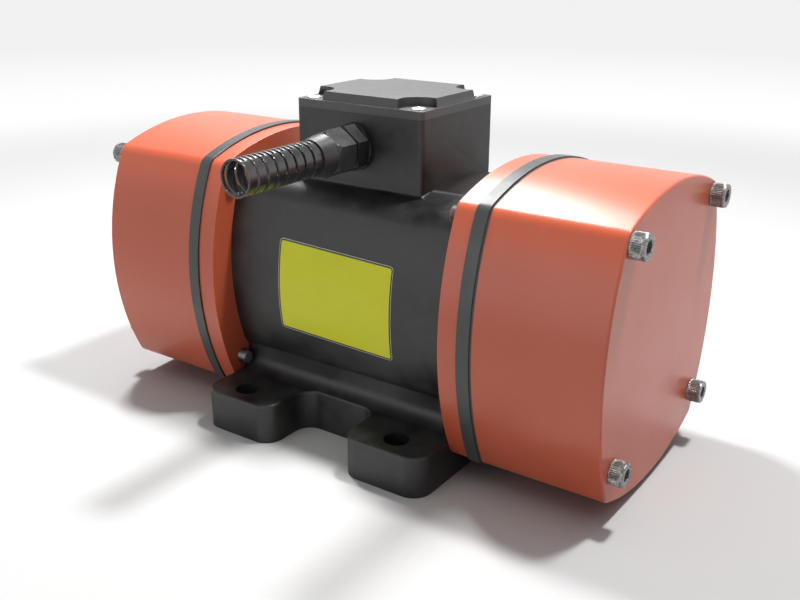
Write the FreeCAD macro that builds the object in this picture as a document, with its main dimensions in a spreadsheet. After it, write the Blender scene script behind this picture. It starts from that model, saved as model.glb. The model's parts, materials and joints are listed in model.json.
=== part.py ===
import FreeCAD, Part
import math
import os
import Sketcher

# Driving sizes in millimetres, written once each and kept in the sheet of the document
SIZES = {
    # motor body
    "axis_height": 83.0,
    "body_half_length": 71.8,
    "body_half_size": 56.8,
    "body_side_radius": 130.0,
    "body_corner_radius": 13.0,
    "bore_radius": 49.0,
    # feet
    "foot_half_width": 84.6,
    "foot_thickness": 22.3,
    "foot_corner_radius": 10.4,
    "foot_edge_radius": 1.5,
    "pedestal_half_width": 47.5,
    "pedestal_overlap": 19.8,
    "pedestal_blend_radius": 8.0,
    "notch_half_width": 24.0,
    "notch_floor": 53.5,
    "notch_corner_radius": 9.5,
    "mount_hole_radius": 6.7,
    "mount_hole_half_spacing": 49.8,
    "mount_hole_half_span": 72.0,
    # weight cover outline, shared by end shield, gasket and cover
    "cover_half_width": 71.3,
    "cover_half_height": 75.0,
    "cover_drop": 4.6,
    "cover_side_radius": 142.5,
    "cover_top_radius": 146.5,
    "cover_corner_radius": 7.0,
    "cover_length": 64.1,
    "cover_wall": 4.5,
    "cover_end_wall": 5.0,
    "cover_edge_radius": 1.2,
    "cover_boss_radius": 6.4,
    # end shield
    "shield_thickness": 10.5,
    "spigot_length": 7.8,
    "spigot_wall": 5.0,
    "spigot_clearance": 0.05,
    "hub_radius": 34.0,
    "hub_depth": 12.0,
    "hub_lip": 3.0,
    "hub_lip_radius": 18.0,
    # cover gasket
    "gasket_thickness": 7.8,
    "gasket_proud": 0.95,
    "gasket_step_width": 1.0,
    "gasket_step_proud": 0.15,
    # long screws that hold the covers
    "cover_screw_half_width": 52.0,
    "cover_screw_half_height": 53.4,
    "cover_screw_radius": 4.0,
    "cover_screw_head_radius": 6.5,
    "cover_screw_head_height": 7.2,
    "cover_screw_socket": 3.0,
    "cover_screw_tip": 5.0,
    "screw_clearance": 0.4,
    "thread_clearance": 0.05,
    # screws of the end shields
    "shield_screw_offset": 41.0,
    "shield_screw_radius": 3.0,
    "shield_screw_head_radius": 5.0,
    "shield_screw_head_height": 5.5,
    "shield_screw_length": 16.0,
    "shield_screw_socket": 2.5,
    # ball bearings
    "bearing_outer_radius": 26.0,
    "bearing_bore_radius": 12.5,
    "bearing_width": 15.0,
    "bearing_outer_shoulder": 21.8,
    "bearing_inner_shoulder": 16.7,
    "ball_circle_radius": 19.25,
    "ball_radius": 3.9,
    "ball_count": 9,
    "race_clearance": 0.15,
    "cage_width": 9.0,
    "cage_wall": 0.7,
    # bearing caps
    "cap_radius": 34.0,
    "cap_thickness": 4.5,
    "cap_spigot_radius": 22.3,
    "cap_screw_circle": 29.8,
    "cap_screw_radius": 2.0,
    "cap_screw_head_radius": 3.5,
    "cap_screw_head_height": 3.4,
    "cap_screw_length": 11.0,
    "cap_screw_socket": 1.5,
    # shaft and rotor
    "shaft_core_radius": 15.0,
    "shaft_weight_radius": 10.0,
    "shaft_overhang": 6.0,
    "shaft_chamfer": 1.0,
    "core_half_length": 26.0,
    "rotor_radius": 28.0,
    "air_gap": 0.4,
    "rotor_bar_count": 18,
    "rotor_bar_radius": 2.2,
    "rotor_bar_circle": 24.3,
    "cage_ring_length": 9.0,
    "cage_ring_inner_radius": 18.0,
    # stator
    "slot_count": 24,
    "slot_width": 4.0,
    "slot_inner_radius": 31.0,
    "slot_outer_radius": 42.0,
    "slot_mouth_width": 2.0,
    "slot_liner": 0.25,
    "winding_inner_radius": 31.5,
    "winding_outer_radius": 46.0,
    "winding_length": 18.0,
    "winding_round": 4.5,
    # unbalance weights
    "spacer_radius": 15.5,
    "labyrinth_clearance": 0.5,
    "weight_space": 5.7,
    "weight_thickness": 20.0,
    "weight_gap": 1.0,
    "weight_radius": 58.0,
    "weight_lug_half_width": 16.0,
    "weight_lug_height": 28.0,
    "weight_slit": 2.5,
    "weight_bore_clearance": 0.03,
    "weight_edge_chamfer": 1.5,
    "clamp_height": 20.0,
    "clamp_radius": 4.0,
    "clamp_head_radius": 6.5,
    "clamp_head_height": 8.0,
    "clamp_socket": 3.0,
    "clamp_tip": 1.0,
    "key_width": 6.0,
    "key_height": 6.0,
    "key_depth": 3.5,
    "key_end_gap": 2.0,
    "disc_gap": 0.5,
    "disc_thickness": 2.0,
    "disc_radius": 27.0,
    "disc_tab_width": 4.0,
    "disc_tab_depth": 2.4,
    "disc_mark_count": 10,
    "disc_mark_radius": 1.2,
    "ring_groove_depth": 1.0,
    "ring_thickness": 1.4,
    "ring_width": 3.0,
    "ring_gap": 7.0,
    # terminal box
    "box_half_length": 39.0,
    "box_half_width": 33.9,
    "box_shift": 1.8,
    "box_sink": 20.0,
    "box_floor_rise": 2.7,
    "box_depth": 29.9,
    "box_wall": 5.0,
    "box_corner_radius": 2.5,
    "box_post": 11.5,
    "lead_hole_radius": 4.5,
    "lead_hole_inset": 10.0,
    # terminal box lid
    "lid_gasket_thickness": 0.8,
    "lid_gasket_inset": 0.6,
    "lid_plate": 4.1,
    "lid_rise": 4.4,
    "lid_rise_inset": 1.6,
    "lid_rise_slope": 16.0,
    "lid_notch_radius": 10.4,
    "lid_screw_inset": 6.5,
    "lid_screw_radius": 2.5,
    "lid_screw_head_radius": 4.4,
    "lid_screw_head_height": 1.7,
    "lid_screw_length": 14.0,
    "lid_screw_slot": 1.1,
    # terminal block
    "block_half_length": 23.0,
    "block_half_width": 10.0,
    "block_height": 9.0,
    "block_shift": 6.0,
    "stud_spacing": 15.0,
    "stud_half_row": 5.0,
    "stud_radius": 2.0,
    "stud_length": 17.0,
    "link_width": 7.0,
    "link_thickness": 1.0,
    "nut_half_flats": 3.5,
    "nut_height": 3.2,
    "earth_inset_x": 13.0,
    "earth_inset_y": 19.9,
    "earth_radius": 2.5,
    "earth_half_flats": 4.0,
    "earth_head_height": 3.5,
    "earth_length": 8.0,
    # cable gland
    "gland_x": 1.0,
    "gland_drop": 16.1,
    "gland_flange_radius": 12.0,
    "gland_washer": 1.2,
    "gland_flange": 1.8,
    "gland_thread_radius": 8.0,
    "gland_bore_radius": 5.2,
    "gland_half_flats": 10.5,
    "gland_body_length": 9.0,
    "gland_neck_gap": 1.1,
    "gland_front_thread": 8.0,
    "gland_front_radius": 8.8,
    "gland_nut_length": 13.4,
    "gland_nut_wall": 0.1,
    "dome_length": 9.4,
    "dome_end_radius": 9.1,
    "seal_radius": 7.4,
    "seal_bore_radius": 4.4,
    "hex_chamfer_start": 0.1,
    "hex_chamfer_reach": 2.2,
    "hex_chamfer_length": 2.6,
    "locknut_half_flats": 10.5,
    "locknut_height": 4.0,
    # slit tail of the gland's dome nut
    "tail_radius": 8.9,
    "tail_wall": 2.0,
    "tail_root": 2.5,
    "slit_count": 15,
    "slit_pitch": 3.4,
    "slit_width": 1.5,
    "slit_web": 2.2,
}

PLANE_ROLES = {"floor": "XY_Plane", "front": "XZ_Plane", "end": "YZ_Plane"}
AXIS_ROLES = {"length": "X_Axis", "width": "Y_Axis", "height": "Z_Axis"}
SIDES = {"right": 0.0, "left": 180.0}

# Depth of a hexagon socket as a share of its screw head's height
SOCKET_SHARE = 0.55
# Turn of the gland's hexagons about the gland axis, in degrees
GLAND_TWIST = 24.0

document = FreeCAD.newDocument("VibrationMotor")
sheet = document.addObject("Spreadsheet::Sheet", "Sizes")
PIECES = []


class Size:
    """A length together with the sheet formula that gives it."""

    def __init__(self, value, formula):
        self.value = float(value)
        self.formula = formula

    def __add__(self, other):
        other = as_size(other)
        return Size(self.value + other.value, "(%s + %s)" % (self.formula, other.formula))

    def __sub__(self, other):
        other = as_size(other)
        return Size(self.value - other.value, "(%s - %s)" % (self.formula, other.formula))

    def __mul__(self, other):
        other = as_size(other)
        return Size(self.value * other.value, "(%s * %s)" % (self.formula, other.formula))

    def __truediv__(self, other):
        other = as_size(other)
        return Size(self.value / other.value, "(%s / %s)" % (self.formula, other.formula))

    def __neg__(self):
        return Size(-self.value, "(0 - %s)" % self.formula)


def as_size(value):
    """Return a size for a plain number, and a size as it is."""
    if isinstance(value, Size):
        return value
    return Size(value, "(%.6f)" % value)


class Sheet:
    """The driving sizes by name."""


def fill_sheet():
    """Write the driving sizes into the sheet and return them by name."""
    named = Sheet()
    for row, (name, value) in enumerate(SIZES.items(), start=1):
        sheet.set("A%d" % row, name)
        sheet.set("B%d" % row, repr(float(value)))
        sheet.setAlias("B%d" % row, name)
        setattr(named, name, Size(value, "Sizes." + name))
    document.recompute()
    return named


s = fill_sheet()
ZERO = as_size(0.0)


def bind(item, name, size):
    """Tie a property of an object to the sheet."""
    item.setExpression(name, as_size(size).formula)


def origin_item(body, role):
    """Return a plane or an axis of the body's own origin."""
    return next(item for item in body.Origin.OriginFeatures if item.Role == role)


def new_body(label, x=ZERO, y=ZERO, z=ZERO, turn_axis=(0, 0, 1), turn=0.0, twist=0.0):
    """Add a body that stands in the shared frame, first twisted about its own z, then turned."""
    body = document.addObject("PartDesign::Body", label.title().replace("_", ""))
    body.Label = label
    body.AllowCompound = True
    turned = FreeCAD.Rotation(FreeCAD.Vector(*turn_axis), turn)
    turned = turned.multiply(FreeCAD.Rotation(FreeCAD.Vector(0, 0, 1), twist))
    body.Placement = FreeCAD.Placement(FreeCAD.Vector(x.value, y.value, z.value), turned)
    bind(body, "Placement.Base.x", x)
    bind(body, "Placement.Base.y", y)
    bind(body, "Placement.Base.z", z)
    PIECES.append(body)
    return body


def side_body(side, name):
    """Add a body on the motor axis, with its own x pointing out of that end."""
    return new_body(side + "_" + name, z=s.axis_height, turn=SIDES[side])


class Drawing:
    """A sketch on one of its body's own planes, every size of it tied to the sheet."""

    def __init__(self, body, name, plane, level=ZERO):
        self.sketch = body.newObject("Sketcher::SketchObject", name)
        self.sketch.AttachmentSupport = (origin_item(body, PLANE_ROLES[plane]), [""])
        self.sketch.MapMode = "FlatFace"
        offset = FreeCAD.Placement(FreeCAD.Vector(0, 0, level.value), FreeCAD.Rotation())
        self.sketch.AttachmentOffset = offset
        bind(self.sketch, "AttachmentOffset.Base.z", level)

    def rule(self, kind, *items):
        """Add a geometric constraint."""
        self.sketch.addConstraint(Sketcher.Constraint(kind, *items))

    def measure(self, kind, items, size):
        """Add a dimension tied to the sheet."""
        index = self.sketch.addConstraint(Sketcher.Constraint(kind, *items, size.value))
        self.sketch.setExpression("Constraints[%d]" % index, size.formula)

    def place(self, element, point, x, y):
        """Dimension a point from the origin of the sketch."""
        self.measure("DistanceX", (-1, 1, element, point), as_size(x))
        self.measure("DistanceY", (-1, 1, element, point), as_size(y))

    def circle(self, x, y, radius):
        """Draw a circle."""
        x, y = as_size(x), as_size(y)
        center = FreeCAD.Vector(x.value, y.value, 0)
        shape = Part.Circle(center, FreeCAD.Vector(0, 0, 1), radius.value)
        element = self.sketch.addGeometry(shape)
        self.measure("Radius", (element,), radius)
        self.place(element, 3, x, y)
        return self

    def circles(self, points, radius):
        """Draw equal circles at several points."""
        for x, y in points:
            self.circle(x, y, radius)
        return self

    def polygon(self, points):
        """Draw a closed chain of lines through dimensioned points."""
        points = [(as_size(x), as_size(y)) for x, y in points]
        corners = [FreeCAD.Vector(x.value, y.value, 0) for x, y in points]
        lines = []
        for start, end in zip(corners, corners[1:] + corners[:1]):
            lines.append(self.sketch.addGeometry(Part.LineSegment(start, end)))
        for line, following in zip(lines, lines[1:] + lines[:1]):
            self.rule("Coincident", line, 2, following, 1)
        for line, (x, y) in zip(lines, points):
            self.place(line, 1, x, y)
        return self

    def rectangle(self, left, bottom, right, top):
        """Draw a rectangle from its four sides."""
        return self.polygon([(left, bottom), (right, bottom), (right, top), (left, top)])

    def hexagon(self, x, y, half_flats, twist=0.0):
        """Draw a regular hexagon, turned by twist degrees."""
        points = []
        for number in range(6):
            angle = math.radians(60.0 * number + twist)
            reach = as_size(1.0 / math.cos(math.pi / 6.0)) * half_flats
            points.append((as_size(x) + reach * math.cos(angle), as_size(y) + reach * math.sin(angle)))
        return self.polygon(points)

    def arc(self, center, radius, start, end):
        """Draw a free arc between two angles in radians."""
        round_shape = Part.Circle(FreeCAD.Vector(*center, 0), FreeCAD.Vector(0, 0, 1), radius)
        return self.sketch.addGeometry(Part.ArcOfCircle(round_shape, start, end))

    def half_disc(self, radius):
        """Draw the lower half of a disc about the origin."""
        edge = self.arc((0, 0), radius.value, math.pi, 2 * math.pi)
        chord = self.sketch.addGeometry(
            Part.LineSegment(FreeCAD.Vector(radius.value, 0, 0), FreeCAD.Vector(-radius.value, 0, 0))
        )
        self.rule("Coincident", edge, 3, -1, 1)
        self.rule("Coincident", edge, 2, chord, 1)
        self.rule("Coincident", chord, 2, edge, 1)
        self.rule("Horizontal", chord)
        self.rule("PointOnObject", chord, 1, -1)
        self.measure("Radius", (edge,), radius)
        return self

    def outline(self, half_width, half_height, level, side_radius, top_radius, corner_radius):
        """Draw a box of four bowed sides joined by four round corners."""
        side_shift = half_width - side_radius
        top_shift = half_height - top_radius
        corner = bowed_corner(side_shift.value, side_radius.value, top_shift.value,
                              top_radius.value, corner_radius.value)
        low = math.atan2(corner[1], corner[0] - side_shift.value)
        high = math.atan2(corner[1] - top_shift.value, corner[0])
        arcs = []
        for quarter in range(4):
            turned = quarter * math.pi / 2
            flat = quarter % 2 == 0
            reach = (side_shift if flat else top_shift).value
            radius = side_radius if flat else top_radius
            spread = low if flat else math.pi / 2 - high
            center = (reach * round(math.cos(turned)), reach * round(math.sin(turned)) + level.value)
            arcs.append(self.arc(center, radius.value, turned - spread, turned + spread))
            self.measure("Radius", (arcs[-1],), radius)
            shift = side_shift if flat else top_shift
            toward = -1 if quarter > 1 else 1
            across = shift * toward if flat else ZERO
            upward = level if flat else level + shift * toward
            self.place(arcs[-1], 3, across, upward)
            sign_x = 1 if quarter in (0, 3) else -1
            sign_y = 1 if quarter in (0, 1) else -1
            start, end = (low, high) if flat else (math.pi - high, math.pi - low)
            if quarter > 1:
                start, end = start + math.pi, end + math.pi
            center = (sign_x * corner[0], sign_y * corner[1] + level.value)
            arcs.append(self.arc(center, corner_radius.value, start, end))
            self.measure("Radius", (arcs[-1],), corner_radius)
        for one, following in zip(arcs, arcs[1:] + arcs[:1]):
            self.rule("Tangent", one, 2, following, 1)
        return self


def bowed_corner(side_shift, side_radius, top_shift, top_radius, corner_radius):
    """Return the centre of the corner circle that touches a side arc and the top arc."""
    side_reach = side_radius - corner_radius
    top_reach = top_radius - corner_radius
    span = math.hypot(side_shift, top_shift)
    along = (side_reach ** 2 - top_reach ** 2 + span ** 2) / (2 * span)
    across = math.sqrt(side_reach ** 2 - along ** 2)
    unit = (-side_shift / span, top_shift / span)
    options = []
    for sign in (-1, 1):
        x = side_shift + along * unit[0] - sign * across * unit[1]
        y = along * unit[1] + sign * across * unit[0]
        options.append((x, y))
    return max(options, key=lambda point: point[0] + point[1])


def feature(body, kind, name, drawing, **settings):
    """Add a sketch-based feature to a body."""
    item = body.newObject("PartDesign::" + kind, name)
    item.Profile = drawing.sketch
    drawing.sketch.Visibility = False
    for key, value in settings.items():
        setattr(item, key, value)
    return item


def pad(body, name, drawing, length, **settings):
    """Raise a drawing by a length."""
    item = feature(body, "Pad", name, drawing, **settings)
    bind(item, "Length", length)
    return item


def pocket(body, name, drawing, length, **settings):
    """Cut a drawing backward by a length."""
    item = feature(body, "Pocket", name, drawing, **settings)
    bind(item, "Length", length)
    return item


def bore(body, name, drawing):
    """Cut a drawing through the whole body both ways."""
    return feature(body, "Pocket", name, drawing, SideType="Symmetric", Type="ThroughAll")


def turned(body, kind, name, drawing, axis="H_Axis"):
    """Revolve or groove a drawing a full turn about an axis of its sketch."""
    item = feature(body, kind, name, drawing)
    item.ReferenceAxis = (drawing.sketch, [axis])
    item.Angle = 360.0
    return item


def polar(body, name, originals, axis, count):
    """Repeat features around an axis of the body."""
    item = body.newObject("PartDesign::PolarPattern", name)
    item.Originals = originals
    item.Axis = (origin_item(body, AXIS_ROLES[axis]), [""])
    item.Angle = 360.0
    bind(item, "Occurrences", count)
    body.Tip = item
    return item


def edge_names(shape, wanted):
    """Name the edges of a shape that pass a test."""
    return ["Edge%d" % (number + 1) for number, edge in enumerate(shape.Edges) if wanted(edge)]


def soften(body, kind, name, base, wanted, size):
    """Round or chamfer the wanted edges of a feature."""
    document.recompute()
    item = body.newObject("PartDesign::" + kind, name)
    item.Base = (base, edge_names(base.Shape, wanted))
    bind(item, "Radius" if kind == "Fillet" else "Size", size)
    body.Tip = item
    return item


def near(value, size, margin=0.02):
    """Tell whether a value lies at a size."""
    return abs(value - as_size(size).value) < margin


def four_corners(x, y, level=ZERO):
    """Return the four points of a rectangle's corners about a level."""
    return [(x * across, level + y * upward) for across in (-1, 1) for upward in (-1, 1)]


def round_points(radius, count, first=90.0):
    """Return points spread evenly around the origin."""
    angles = [math.radians(first + 360.0 * number / count) for number in range(count)]
    return [(radius * math.cos(angle), radius * math.sin(angle)) for angle in angles]


# Places along the motor axis, measured from the middle of the motor
shield_inner = s.body_half_length
shield_outer = shield_inner + s.shield_thickness
gasket_outer = shield_outer + s.gasket_thickness
cover_outer = gasket_outer + s.cover_length
bearing_inner = shield_inner - s.hub_depth + s.hub_lip
bearing_middle = bearing_inner + s.bearing_width / 2
bearing_outer = bearing_inner + s.bearing_width
cap_outer = shield_outer + s.cap_thickness
first_weight = cap_outer + s.weight_space
second_weight = first_weight + s.weight_thickness + s.weight_gap
weights_end = second_weight + s.weight_thickness
disc_start = weights_end + s.disc_gap
ring_start = disc_start + s.disc_thickness
shaft_end = ring_start + s.shaft_overhang

# Places in the terminal box
body_top = s.axis_height + s.body_half_size
box_floor = body_top + s.box_floor_rise
box_top = box_floor + s.box_depth
box_front = -(s.box_half_width + s.box_shift)
lid_bottom = box_top + s.lid_gasket_thickness
lid_plate_top = lid_bottom + s.lid_plate
lid_screw_x = s.box_half_length - s.lid_screw_inset
lid_screw_y = s.box_half_width - s.lid_screw_inset
block_top = box_floor + s.block_height
earth_x = s.box_half_length - s.earth_inset_x
earth_y = s.box_half_width - s.earth_inset_y
gland_height = box_top - s.gland_drop


def cover_section(body, name, level, grow=ZERO):
    """Draw the outline that end shield, gasket and cover share."""
    return Drawing(body, name, "end", level).outline(
        s.cover_half_width + grow, s.cover_half_height + grow, -s.cover_drop,
        s.cover_side_radius + grow, s.cover_top_radius + grow, s.cover_corner_radius + grow)


def cover_screw_points():
    """Return where the long screws stand about the motor axis."""
    return four_corners(s.cover_screw_half_width, s.cover_screw_half_height)


def shield_screw_points():
    """Return where the end shield's screws stand about the motor axis."""
    return four_corners(s.shield_screw_offset, s.shield_screw_offset)


def cap_screw_points():
    """Return where the bearing cap's screws stand about the motor axis."""
    return round_points(s.cap_screw_circle, 3)


def motor_housing():
    """Cast body with bore, feet and terminal box."""
    body = new_body("motor_housing")
    length = s.body_half_length * 2
    plate = Drawing(body, "FootPlate", "floor").rectangle(
        -s.body_half_length, -s.foot_half_width, s.body_half_length, s.foot_half_width)
    pad(body, "FootPad", plate, s.foot_thickness)
    section = Drawing(body, "BodySection", "end", -s.body_half_length).outline(
        s.body_half_size, s.body_half_size, s.axis_height,
        s.body_side_radius, s.body_side_radius, s.body_corner_radius)
    pad(body, "BodyPad", section, length)
    pedestal(body, length)
    notch = Drawing(body, "Notches", "floor")
    for side in (-1, 1):
        near_y = s.notch_floor * side
        far_y = (s.foot_half_width + 5) * side
        low, high = (near_y, far_y) if side > 0 else (far_y, near_y)
        notch.rectangle(-s.notch_half_width, low, s.notch_half_width, high)
    cut = pocket(body, "NotchPocket", notch, s.foot_thickness + s.pedestal_blend_radius, Reversed=True)
    cut = soften(body, "Fillet", "NotchRound", cut, upright_edge(s.notch_half_width, s.notch_floor),
                 s.notch_corner_radius)
    cut = soften(body, "Fillet", "LugRound", cut, upright_edge(s.notch_half_width, s.foot_half_width),
                 s.notch_corner_radius)
    cut = soften(body, "Fillet", "FootRound", cut, upright_edge(s.body_half_length, s.foot_half_width),
                 s.foot_corner_radius)
    soften(body, "Fillet", "FootEdge", cut, foot_rim_edge, s.foot_edge_radius)
    terminal_box(body)
    bore(body, "StatorBore", Drawing(body, "BoreCircle", "end").circle(ZERO, s.axis_height, s.bore_radius))
    holes = Drawing(body, "MountHoles", "floor").circles(
        four_corners(s.mount_hole_half_spacing, s.mount_hole_half_span), s.mount_hole_radius)
    pocket(body, "MountHoleCut", holes, s.foot_thickness + 1, Reversed=True)
    points = [(x, z + s.axis_height) for x, z in shield_screw_points()]
    depth = s.shield_screw_length - s.shield_screw_head_height + 3
    for number, level in enumerate((s.body_half_length, -s.body_half_length)):
        threads = Drawing(body, "ShieldThreads%d" % number, "end", level).circles(
            points, s.shield_screw_radius + s.thread_clearance)
        pocket(body, "ShieldThreadCut%d" % number, threads, depth, Reversed=number == 1)


def pedestal(body, length):
    """Foot block under the body, with hollow roundings down to the feet."""
    drawing = Drawing(body, "PedestalSection", "end", -s.body_half_length)
    foot_y = s.pedestal_half_width + s.pedestal_blend_radius
    foot_z = s.foot_thickness
    wall_z = s.foot_thickness + s.pedestal_blend_radius
    top_z = s.axis_height - s.body_half_size + s.pedestal_overlap
    points = [
        (-foot_y, ZERO), (foot_y, ZERO), (foot_y, foot_z), (s.pedestal_half_width, wall_z),
        (s.pedestal_half_width, top_z), (-s.pedestal_half_width, top_z),
        (-s.pedestal_half_width, wall_z), (-foot_y, foot_z),
    ]
    lines = []
    sketch = drawing.sketch
    for number, (start, end) in enumerate(zip(points, points[1:] + points[:1])):
        first = FreeCAD.Vector(start[0].value, start[1].value, 0)
        last = FreeCAD.Vector(end[0].value, end[1].value, 0)
        if number == 2:
            lines.append(drawing.arc((foot_y.value, wall_z.value), s.pedestal_blend_radius.value,
                                     math.pi, 1.5 * math.pi))
        elif number == 6:
            lines.append(drawing.arc((-foot_y.value, wall_z.value), s.pedestal_blend_radius.value,
                                     1.5 * math.pi, 2 * math.pi))
        else:
            lines.append(sketch.addGeometry(Part.LineSegment(first, last)))
    for number, line in enumerate(lines):
        following = (number + 1) % len(lines)
        end = 1 if number in (2, 6) else 2
        start = 2 if following in (2, 6) else 1
        drawing.rule("Coincident", line, end, lines[following], start)
    for number in (2, 6):
        drawing.measure("Radius", (lines[number],), s.pedestal_blend_radius)
        ends = (foot_y, foot_z) if number == 2 else (-s.pedestal_half_width, wall_z)
        drawing.place(lines[number], 2, *ends)
    for number in (0, 1, 3, 4, 5, 7):
        drawing.place(lines[number], 1, *points[number])
    pad(body, "PedestalPad", drawing, length)


def upright_edge(x, y):
    """Return a test for the upright edges that stand at plus or minus x and y."""
    def wanted(edge):
        ends = [vertex.Point for vertex in edge.Vertexes]
        if len(ends) != 2 or abs(ends[0].z - ends[1].z) < 5:
            return False
        return all(near(abs(end.x), x) and near(abs(end.y), y) for end in ends)
    return wanted


def foot_rim_edge(edge):
    """Tell the top edges of the four lugs, outside the blend of the pedestal."""
    box = edge.BoundBox
    limit = (s.pedestal_half_width + s.pedestal_blend_radius).value
    flat = near(box.ZMin, s.foot_thickness) and near(box.ZMax, s.foot_thickness)
    return flat and (box.YMin > limit - 0.02 or box.YMax < 0.02 - limit) and not inner_line(box, limit)


def inner_line(box, limit):
    """Tell the line where a lug meets the blend."""
    return box.YLength < 0.02 and abs(abs(box.YMin) - limit) < 0.02


def terminal_box(body):
    """Box on top of the body, with a cavity, corner posts and holes."""
    base = body_top - s.box_sink
    walls = Drawing(body, "BoxWalls", "floor", base).rectangle(
        -s.box_half_length, box_front, s.box_half_length, s.box_half_width - s.box_shift)
    box = pad(body, "BoxPad", walls, box_top - base)
    corners = upright_box_edge
    soften(body, "Fillet", "BoxRound", box, corners, s.box_corner_radius)
    cavity = cavity_outline(Drawing(body, "BoxCavity", "floor", box_top))
    pocket(body, "BoxCavityCut", cavity, box_top - box_floor)
    lead = Drawing(body, "LeadHole", "floor", box_floor + 1).circle(
        s.box_half_length - s.lead_hole_inset, ZERO, s.lead_hole_radius)
    pocket(body, "LeadHoleCut", lead, box_floor + 1 - s.axis_height)
    gland = Drawing(body, "GlandHole", "front", -box_front + 1).circle(
        -s.gland_x, gland_height, s.gland_thread_radius + s.thread_clearance)
    pocket(body, "GlandHoleCut", gland, s.box_wall + 3)
    posts = Drawing(body, "LidThreads", "floor", box_top).circles(
        four_corners(lid_screw_x, lid_screw_y, -s.box_shift), s.lid_screw_radius + s.thread_clearance)
    pocket(body, "LidThreadCut", posts, s.lid_screw_length)
    earth = Drawing(body, "EarthThread", "floor", box_floor).circle(
        -earth_x, -earth_y, s.earth_radius + s.thread_clearance)
    pocket(body, "EarthThreadCut", earth, s.earth_length)


def upright_box_edge(edge):
    """Tell the upright corner edges of the terminal box."""
    ends = [vertex.Point for vertex in edge.Vertexes]
    if len(ends) != 2 or abs(ends[0].z - ends[1].z) < 5:
        return False
    return all(near(abs(end.x), s.box_half_length) and
               near(abs(end.y + s.box_shift.value), s.box_half_width) for end in ends)


def cavity_outline(drawing, grow=ZERO):
    """Draw the inside of the terminal box around its four corner posts."""
    x = s.box_half_length - s.box_wall + grow
    y = s.box_half_width - s.box_wall + grow
    post_x = s.box_half_length - s.box_post + grow
    post_y = s.box_half_width - s.box_post + grow
    corners = [
        (x, -post_y), (x, post_y), (post_x, post_y), (post_x, y), (-post_x, y), (-post_x, post_y),
        (-x, post_y), (-x, -post_y), (-post_x, -post_y), (-post_x, -y), (post_x, -y), (post_x, -post_y),
    ]
    return drawing.polygon([(across, along - s.box_shift) for across, along in corners])


def end_shield(side):
    """Cast shield that closes the body and carries a ball bearing."""
    body = side_body(side, "end_shield")
    pad(body, "Plate", cover_section(body, "PlateOutline", shield_inner), s.shield_thickness)
    spigot_radius = s.bore_radius - s.spigot_clearance
    spigot = Drawing(body, "Spigot", "end", shield_inner - s.spigot_length)
    spigot.circle(ZERO, ZERO, spigot_radius).circle(ZERO, ZERO, spigot_radius - s.spigot_wall)
    pad(body, "SpigotPad", spigot, s.spigot_length)
    hub = Drawing(body, "Hub", "end", shield_inner - s.hub_depth).circle(ZERO, ZERO, s.hub_radius)
    pad(body, "HubPad", hub, s.hub_depth)
    seat = Drawing(body, "BearingSeat", "end", shield_outer).circle(ZERO, ZERO, s.bearing_outer_radius)
    pocket(body, "BearingSeatCut", seat, shield_outer - bearing_inner)
    bore(body, "ShaftHole", Drawing(body, "LipHole", "end").circle(ZERO, ZERO, s.hub_lip_radius))
    threads = Drawing(body, "CoverThreads", "end").circles(
        cover_screw_points(), s.cover_screw_radius + s.thread_clearance)
    bore(body, "CoverThreadCut", threads)
    caps = Drawing(body, "CapThreads", "end", shield_outer).circles(
        cap_screw_points(), s.cap_screw_radius + s.thread_clearance)
    pocket(body, "CapThreadCut", caps, s.cap_screw_length)
    holes = Drawing(body, "ShieldHoles", "end").circles(
        shield_screw_points(), s.shield_screw_radius + s.screw_clearance)
    bore(body, "ShieldHoleCut", holes)
    seats = Drawing(body, "ShieldHeads", "end", shield_outer).circles(
        shield_screw_points(), s.shield_screw_head_radius + s.screw_clearance)
    pocket(body, "ShieldHeadCut", seats, s.shield_screw_head_height + 0.5)


def weight_cover(side):
    """Cup over the unbalance weights, with four screw bosses inside."""
    body = side_body(side, "weight_cover")
    shell = pad(body, "Shell", cover_section(body, "ShellOutline", gasket_outer), s.cover_length)
    soften(body, "Fillet", "ShellEdge", shell, lambda edge: near(edge.BoundBox.XMin, cover_outer),
           s.cover_edge_radius)
    floor = cover_outer - s.cover_end_wall
    hollow = cover_section(body, "HollowOutline", floor, -s.cover_wall)
    pocket(body, "Hollow", hollow, floor - gasket_outer)
    bosses = Drawing(body, "Bosses", "end", gasket_outer).circles(cover_screw_points(), s.cover_boss_radius)
    pad(body, "BossPad", bosses, floor - gasket_outer)
    holes = Drawing(body, "ScrewHoles", "end").circles(
        cover_screw_points(), s.cover_screw_radius + s.screw_clearance)
    bore(body, "ScrewHoleCut", holes)


def cover_gasket(side):
    """Rubber frame between end shield and cover, standing a little proud."""
    body = side_body(side, "cover_gasket")
    wide = s.gasket_thickness - s.gasket_step_width
    pad(body, "Band", cover_section(body, "BandOutline", shield_outer, s.gasket_proud), wide)
    step = cover_section(body, "StepOutline", shield_outer + wide, s.gasket_step_proud)
    pad(body, "Step", step, s.gasket_step_width)
    hollow = cover_section(body, "HollowOutline", gasket_outer, -s.cover_wall)
    pocket(body, "Hollow", hollow, s.gasket_thickness)
    bosses = Drawing(body, "Bosses", "end", shield_outer).circles(cover_screw_points(), s.cover_boss_radius)
    pad(body, "BossPad", bosses, s.gasket_thickness)
    holes = Drawing(body, "ScrewHoles", "end").circles(
        cover_screw_points(), s.cover_screw_radius + s.screw_clearance)
    bore(body, "ScrewHoleCut", holes)


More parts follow.
